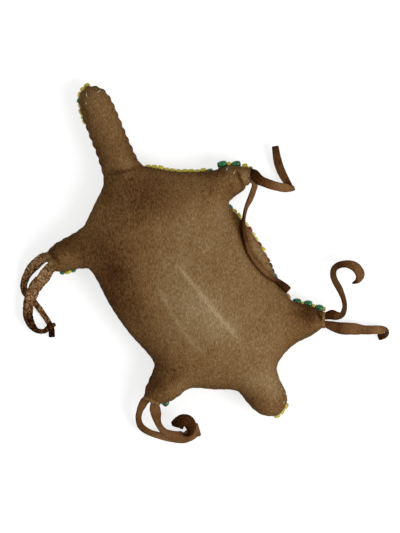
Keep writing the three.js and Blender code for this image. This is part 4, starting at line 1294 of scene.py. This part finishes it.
def loose_stitches():
    """White stitches: straight threads that lie on the belly and dip into it at both ends."""
    ends = np.array([[seen(*a), seen(*b)] for a, b in WHITE_STITCHES])
    share = np.linspace(0, 1, 7)[None, :, None]
    p = ends[:, :1] * (1 - share) + ends[:, 1:] * share
    flat = p.reshape(-1, 2)
    z = np.where(inside_seam(flat), belly_z(flat), seam_z(flat)).reshape(len(p), -1)
    lift = np.array([-0.3, 0.05, 0.15, 0.18, 0.15, 0.05, -0.3])
    return np.concatenate([p, (z + lift)[..., None]], axis=-1)


# Putting the amulet together

make_pouch()

for seed, (leg, name) in enumerate(THONGS, 40):
    frayed = leg == "hind_left"
    make_thong(leg, name, ROUGH_STRAP if frayed else STRAP, 0.5 if frayed else 0.12, seed)

for lane in range(5):
    make_shell_lane(lane)
bead_piece("bead_lane_tail", make_limb_lane("tail", 0.8, 0.35))
bead_piece("bead_lane_head", make_limb_lane("head", 0.8) + make_seam_string(
    seen(274, 414), seen(287, 400), [("yellow", 0)]))
make_leg_rows("hind_right", first=3, spread=0.4, start=(0.1, 0.1, 0.09), tucked=0,
              longs=(3.5, 1.5), extra=[(245, 165.7), (250, 168.6)])
make_leg_rows("fore_right", first=1.8, spread=0, start=(0.36, 0.4, -0.03), tucked=0,
              longs=(3.1, 1.3), extra=[(323, 309)])
make_leg_rows("hind_left", first=3.4, spread=0, start=(0.54, 0.3, 0), tucked=2, longs=(2, 2.4))
make_leg_rows("fore_left", first=0.6, spread=0, start=(0.5, 0.5, 0), tucked=4, longs=(2.6, 1.5))
bead_piece("bead_string_right_flank", make_seam_string(
    on_limb(LIMBS["fore_right"], -1, 6), shell_point(202), FLANK_BEADS))
bead_piece("bead_string_rear_right", make_seam_string(
    on_limb(LIMBS["hind_right"], -0.8, 6), shell_point(252),
    [("green", -0.1)] + 4 * [("yellow", 0.2), ("yellow", 0), ("yellow", 0.3), ("yellow", 0.1),
                             ("yellow", -0.1)]))
bead_piece("bead_string_tail_tip", make_seam_string(
    on_limb(LIMBS["tail"], 33, -1.5), on_limb(LIMBS["tail"], 20.5, 6),
    [("yellow", 0.2), ("yellow", 0.2), ("yellow", -0.2), ("green", -0.4), ("yellow", -0.4),
     ("yellow", -0.35), ("yellow", -0.35), ("yellow", -0.45), ("yellow", -0.5)]))

stitches = new_piece("seam_stitches", [(*tubes(make_seam_stitches(), 0.1), 0),
                                       (*tubes(loose_stitches(), 0.12), 1)],
                     [SMOKED_SINEW, WHITE_SINEW])


# Camera, floor and light


def plain_stage(name, light):
    """White to the camera and in reflections, and a pale matt surface to the lamps, so that
    the object's shadow stays."""
    finish = Finish(name, 0.9, Base_Color=(0.6, 0.6, 0.6, 1), Specular_IOR_Level=0,
                    Emission_Color=(1, 1, 1, 1))
    rays = finish.tree.nodes.new("ShaderNodeLightPath").outputs
    seen_by = rays["Is Camera Ray"]
    for other in ("Is Glossy Ray", "Is Transmission Ray"):
        seen_by = finish.combine(seen_by, rays[other], "MAXIMUM")
    finish.feed(finish.shader.inputs["Emission Strength"],
                finish.combine(seen_by, light, "MULTIPLY"))
    return finish.material


floor_mesh = bpy.data.meshes.new("floor")
floor_mesh.from_pydata([(-2, -2, -0.0001), (2, -2, -0.0001), (2, 2, -0.0001), (-2, 2, -0.0001)],
                       [], [(0, 1, 2, 3)])
floor_mesh.materials.append(plain_stage("pale_floor", 0.68))
floor = bpy.data.objects.new("floor", floor_mesh)
bpy.context.scene.collection.objects.link(floor)

IMAGE_RIGHT = np.array([-CAMERA_FLAT[1], CAMERA_FLAT[0], 0])
IMAGE_DOWN = np.array([CAMERA_FLAT[0], CAMERA_FLAT[1], 0])
UP = np.array([0.0, 0.0, 1.0])


def stand(obj, place, x_axis, y_axis):
    """Puts a camera or lamp at a place in metres, with its own X and Y axes given."""
    z_axis = np.cross(x_axis, y_axis)
    matrix = np.eye(4)
    matrix[:3, :3] = np.column_stack([x_axis, y_axis, z_axis])
    matrix[:3, 3] = place
    obj.matrix_world = Matrix(matrix.tolist())
    bpy.context.scene.collection.objects.link(obj)


# In metres, with the photograph's height in pixels and the sensor's in mm
CAMERA_DISTANCE, FOCUS_HEIGHT, PHOTO_HEIGHT, SENSOR = 2.0, 0.009, 533, 36
middle = np.append(seen(200, PHOTO_HEIGHT / 2) * MM, FOCUS_HEIGHT)
camera_data = bpy.data.cameras.new("camera")
camera_data.lens = SENSOR * CAMERA_DISTANCE / (PHOTO_HEIGHT * PHOTO_MM * MM)
camera_data.clip_end = 20
camera = bpy.data.objects.new("camera", camera_data)
stand(camera, middle + UP * CAMERA_DISTANCE, IMAGE_RIGHT, -IMAGE_DOWN)
bpy.context.scene.camera = camera


def soft_lamp(name, direction, distance, size, power):
    """A square soft lamp that faces the object from a direction."""
    data = bpy.data.lights.new(name, "AREA")
    data.shape = "SQUARE"
    data.size = size
    data.energy = power
    back = unit(direction)
    side = unit(np.cross(UP, back))
    stand(bpy.data.objects.new(name, data), middle + back * distance, side, np.cross(back, side))


soft_lamp("key_lamp", 0.75 * IMAGE_RIGHT + 0.35 * IMAGE_DOWN + 0.8 * UP, 1.0, 0.5, 4.6)
soft_lamp("fill_lamp", -0.6 * IMAGE_RIGHT - 0.5 * IMAGE_DOWN + 0.9 * UP, 1.2, 0.9, 1.3)

# The world is white to the camera and lights the object softly
WORLD_LIGHT = 0.36
world = bpy.data.worlds.new("studio")
bpy.context.scene.world = world
world.use_nodes = True
background = world.node_tree.nodes["Background"]
light_path = world.node_tree.nodes.new("ShaderNodeLightPath")
level = world.node_tree.nodes.new("ShaderNodeMix")
world.node_tree.links.new(light_path.outputs["Is Camera Ray"], level.inputs[0])
level.inputs[2].default_value = WORLD_LIGHT
level.inputs[3].default_value = 1.0
world.node_tree.links.new(level.outputs[0], background.inputs["Strength"])
background.inputs["Color"].default_value = (1, 1, 1, 1)
bpy.context.scene.view_settings.view_transform = "Standard"
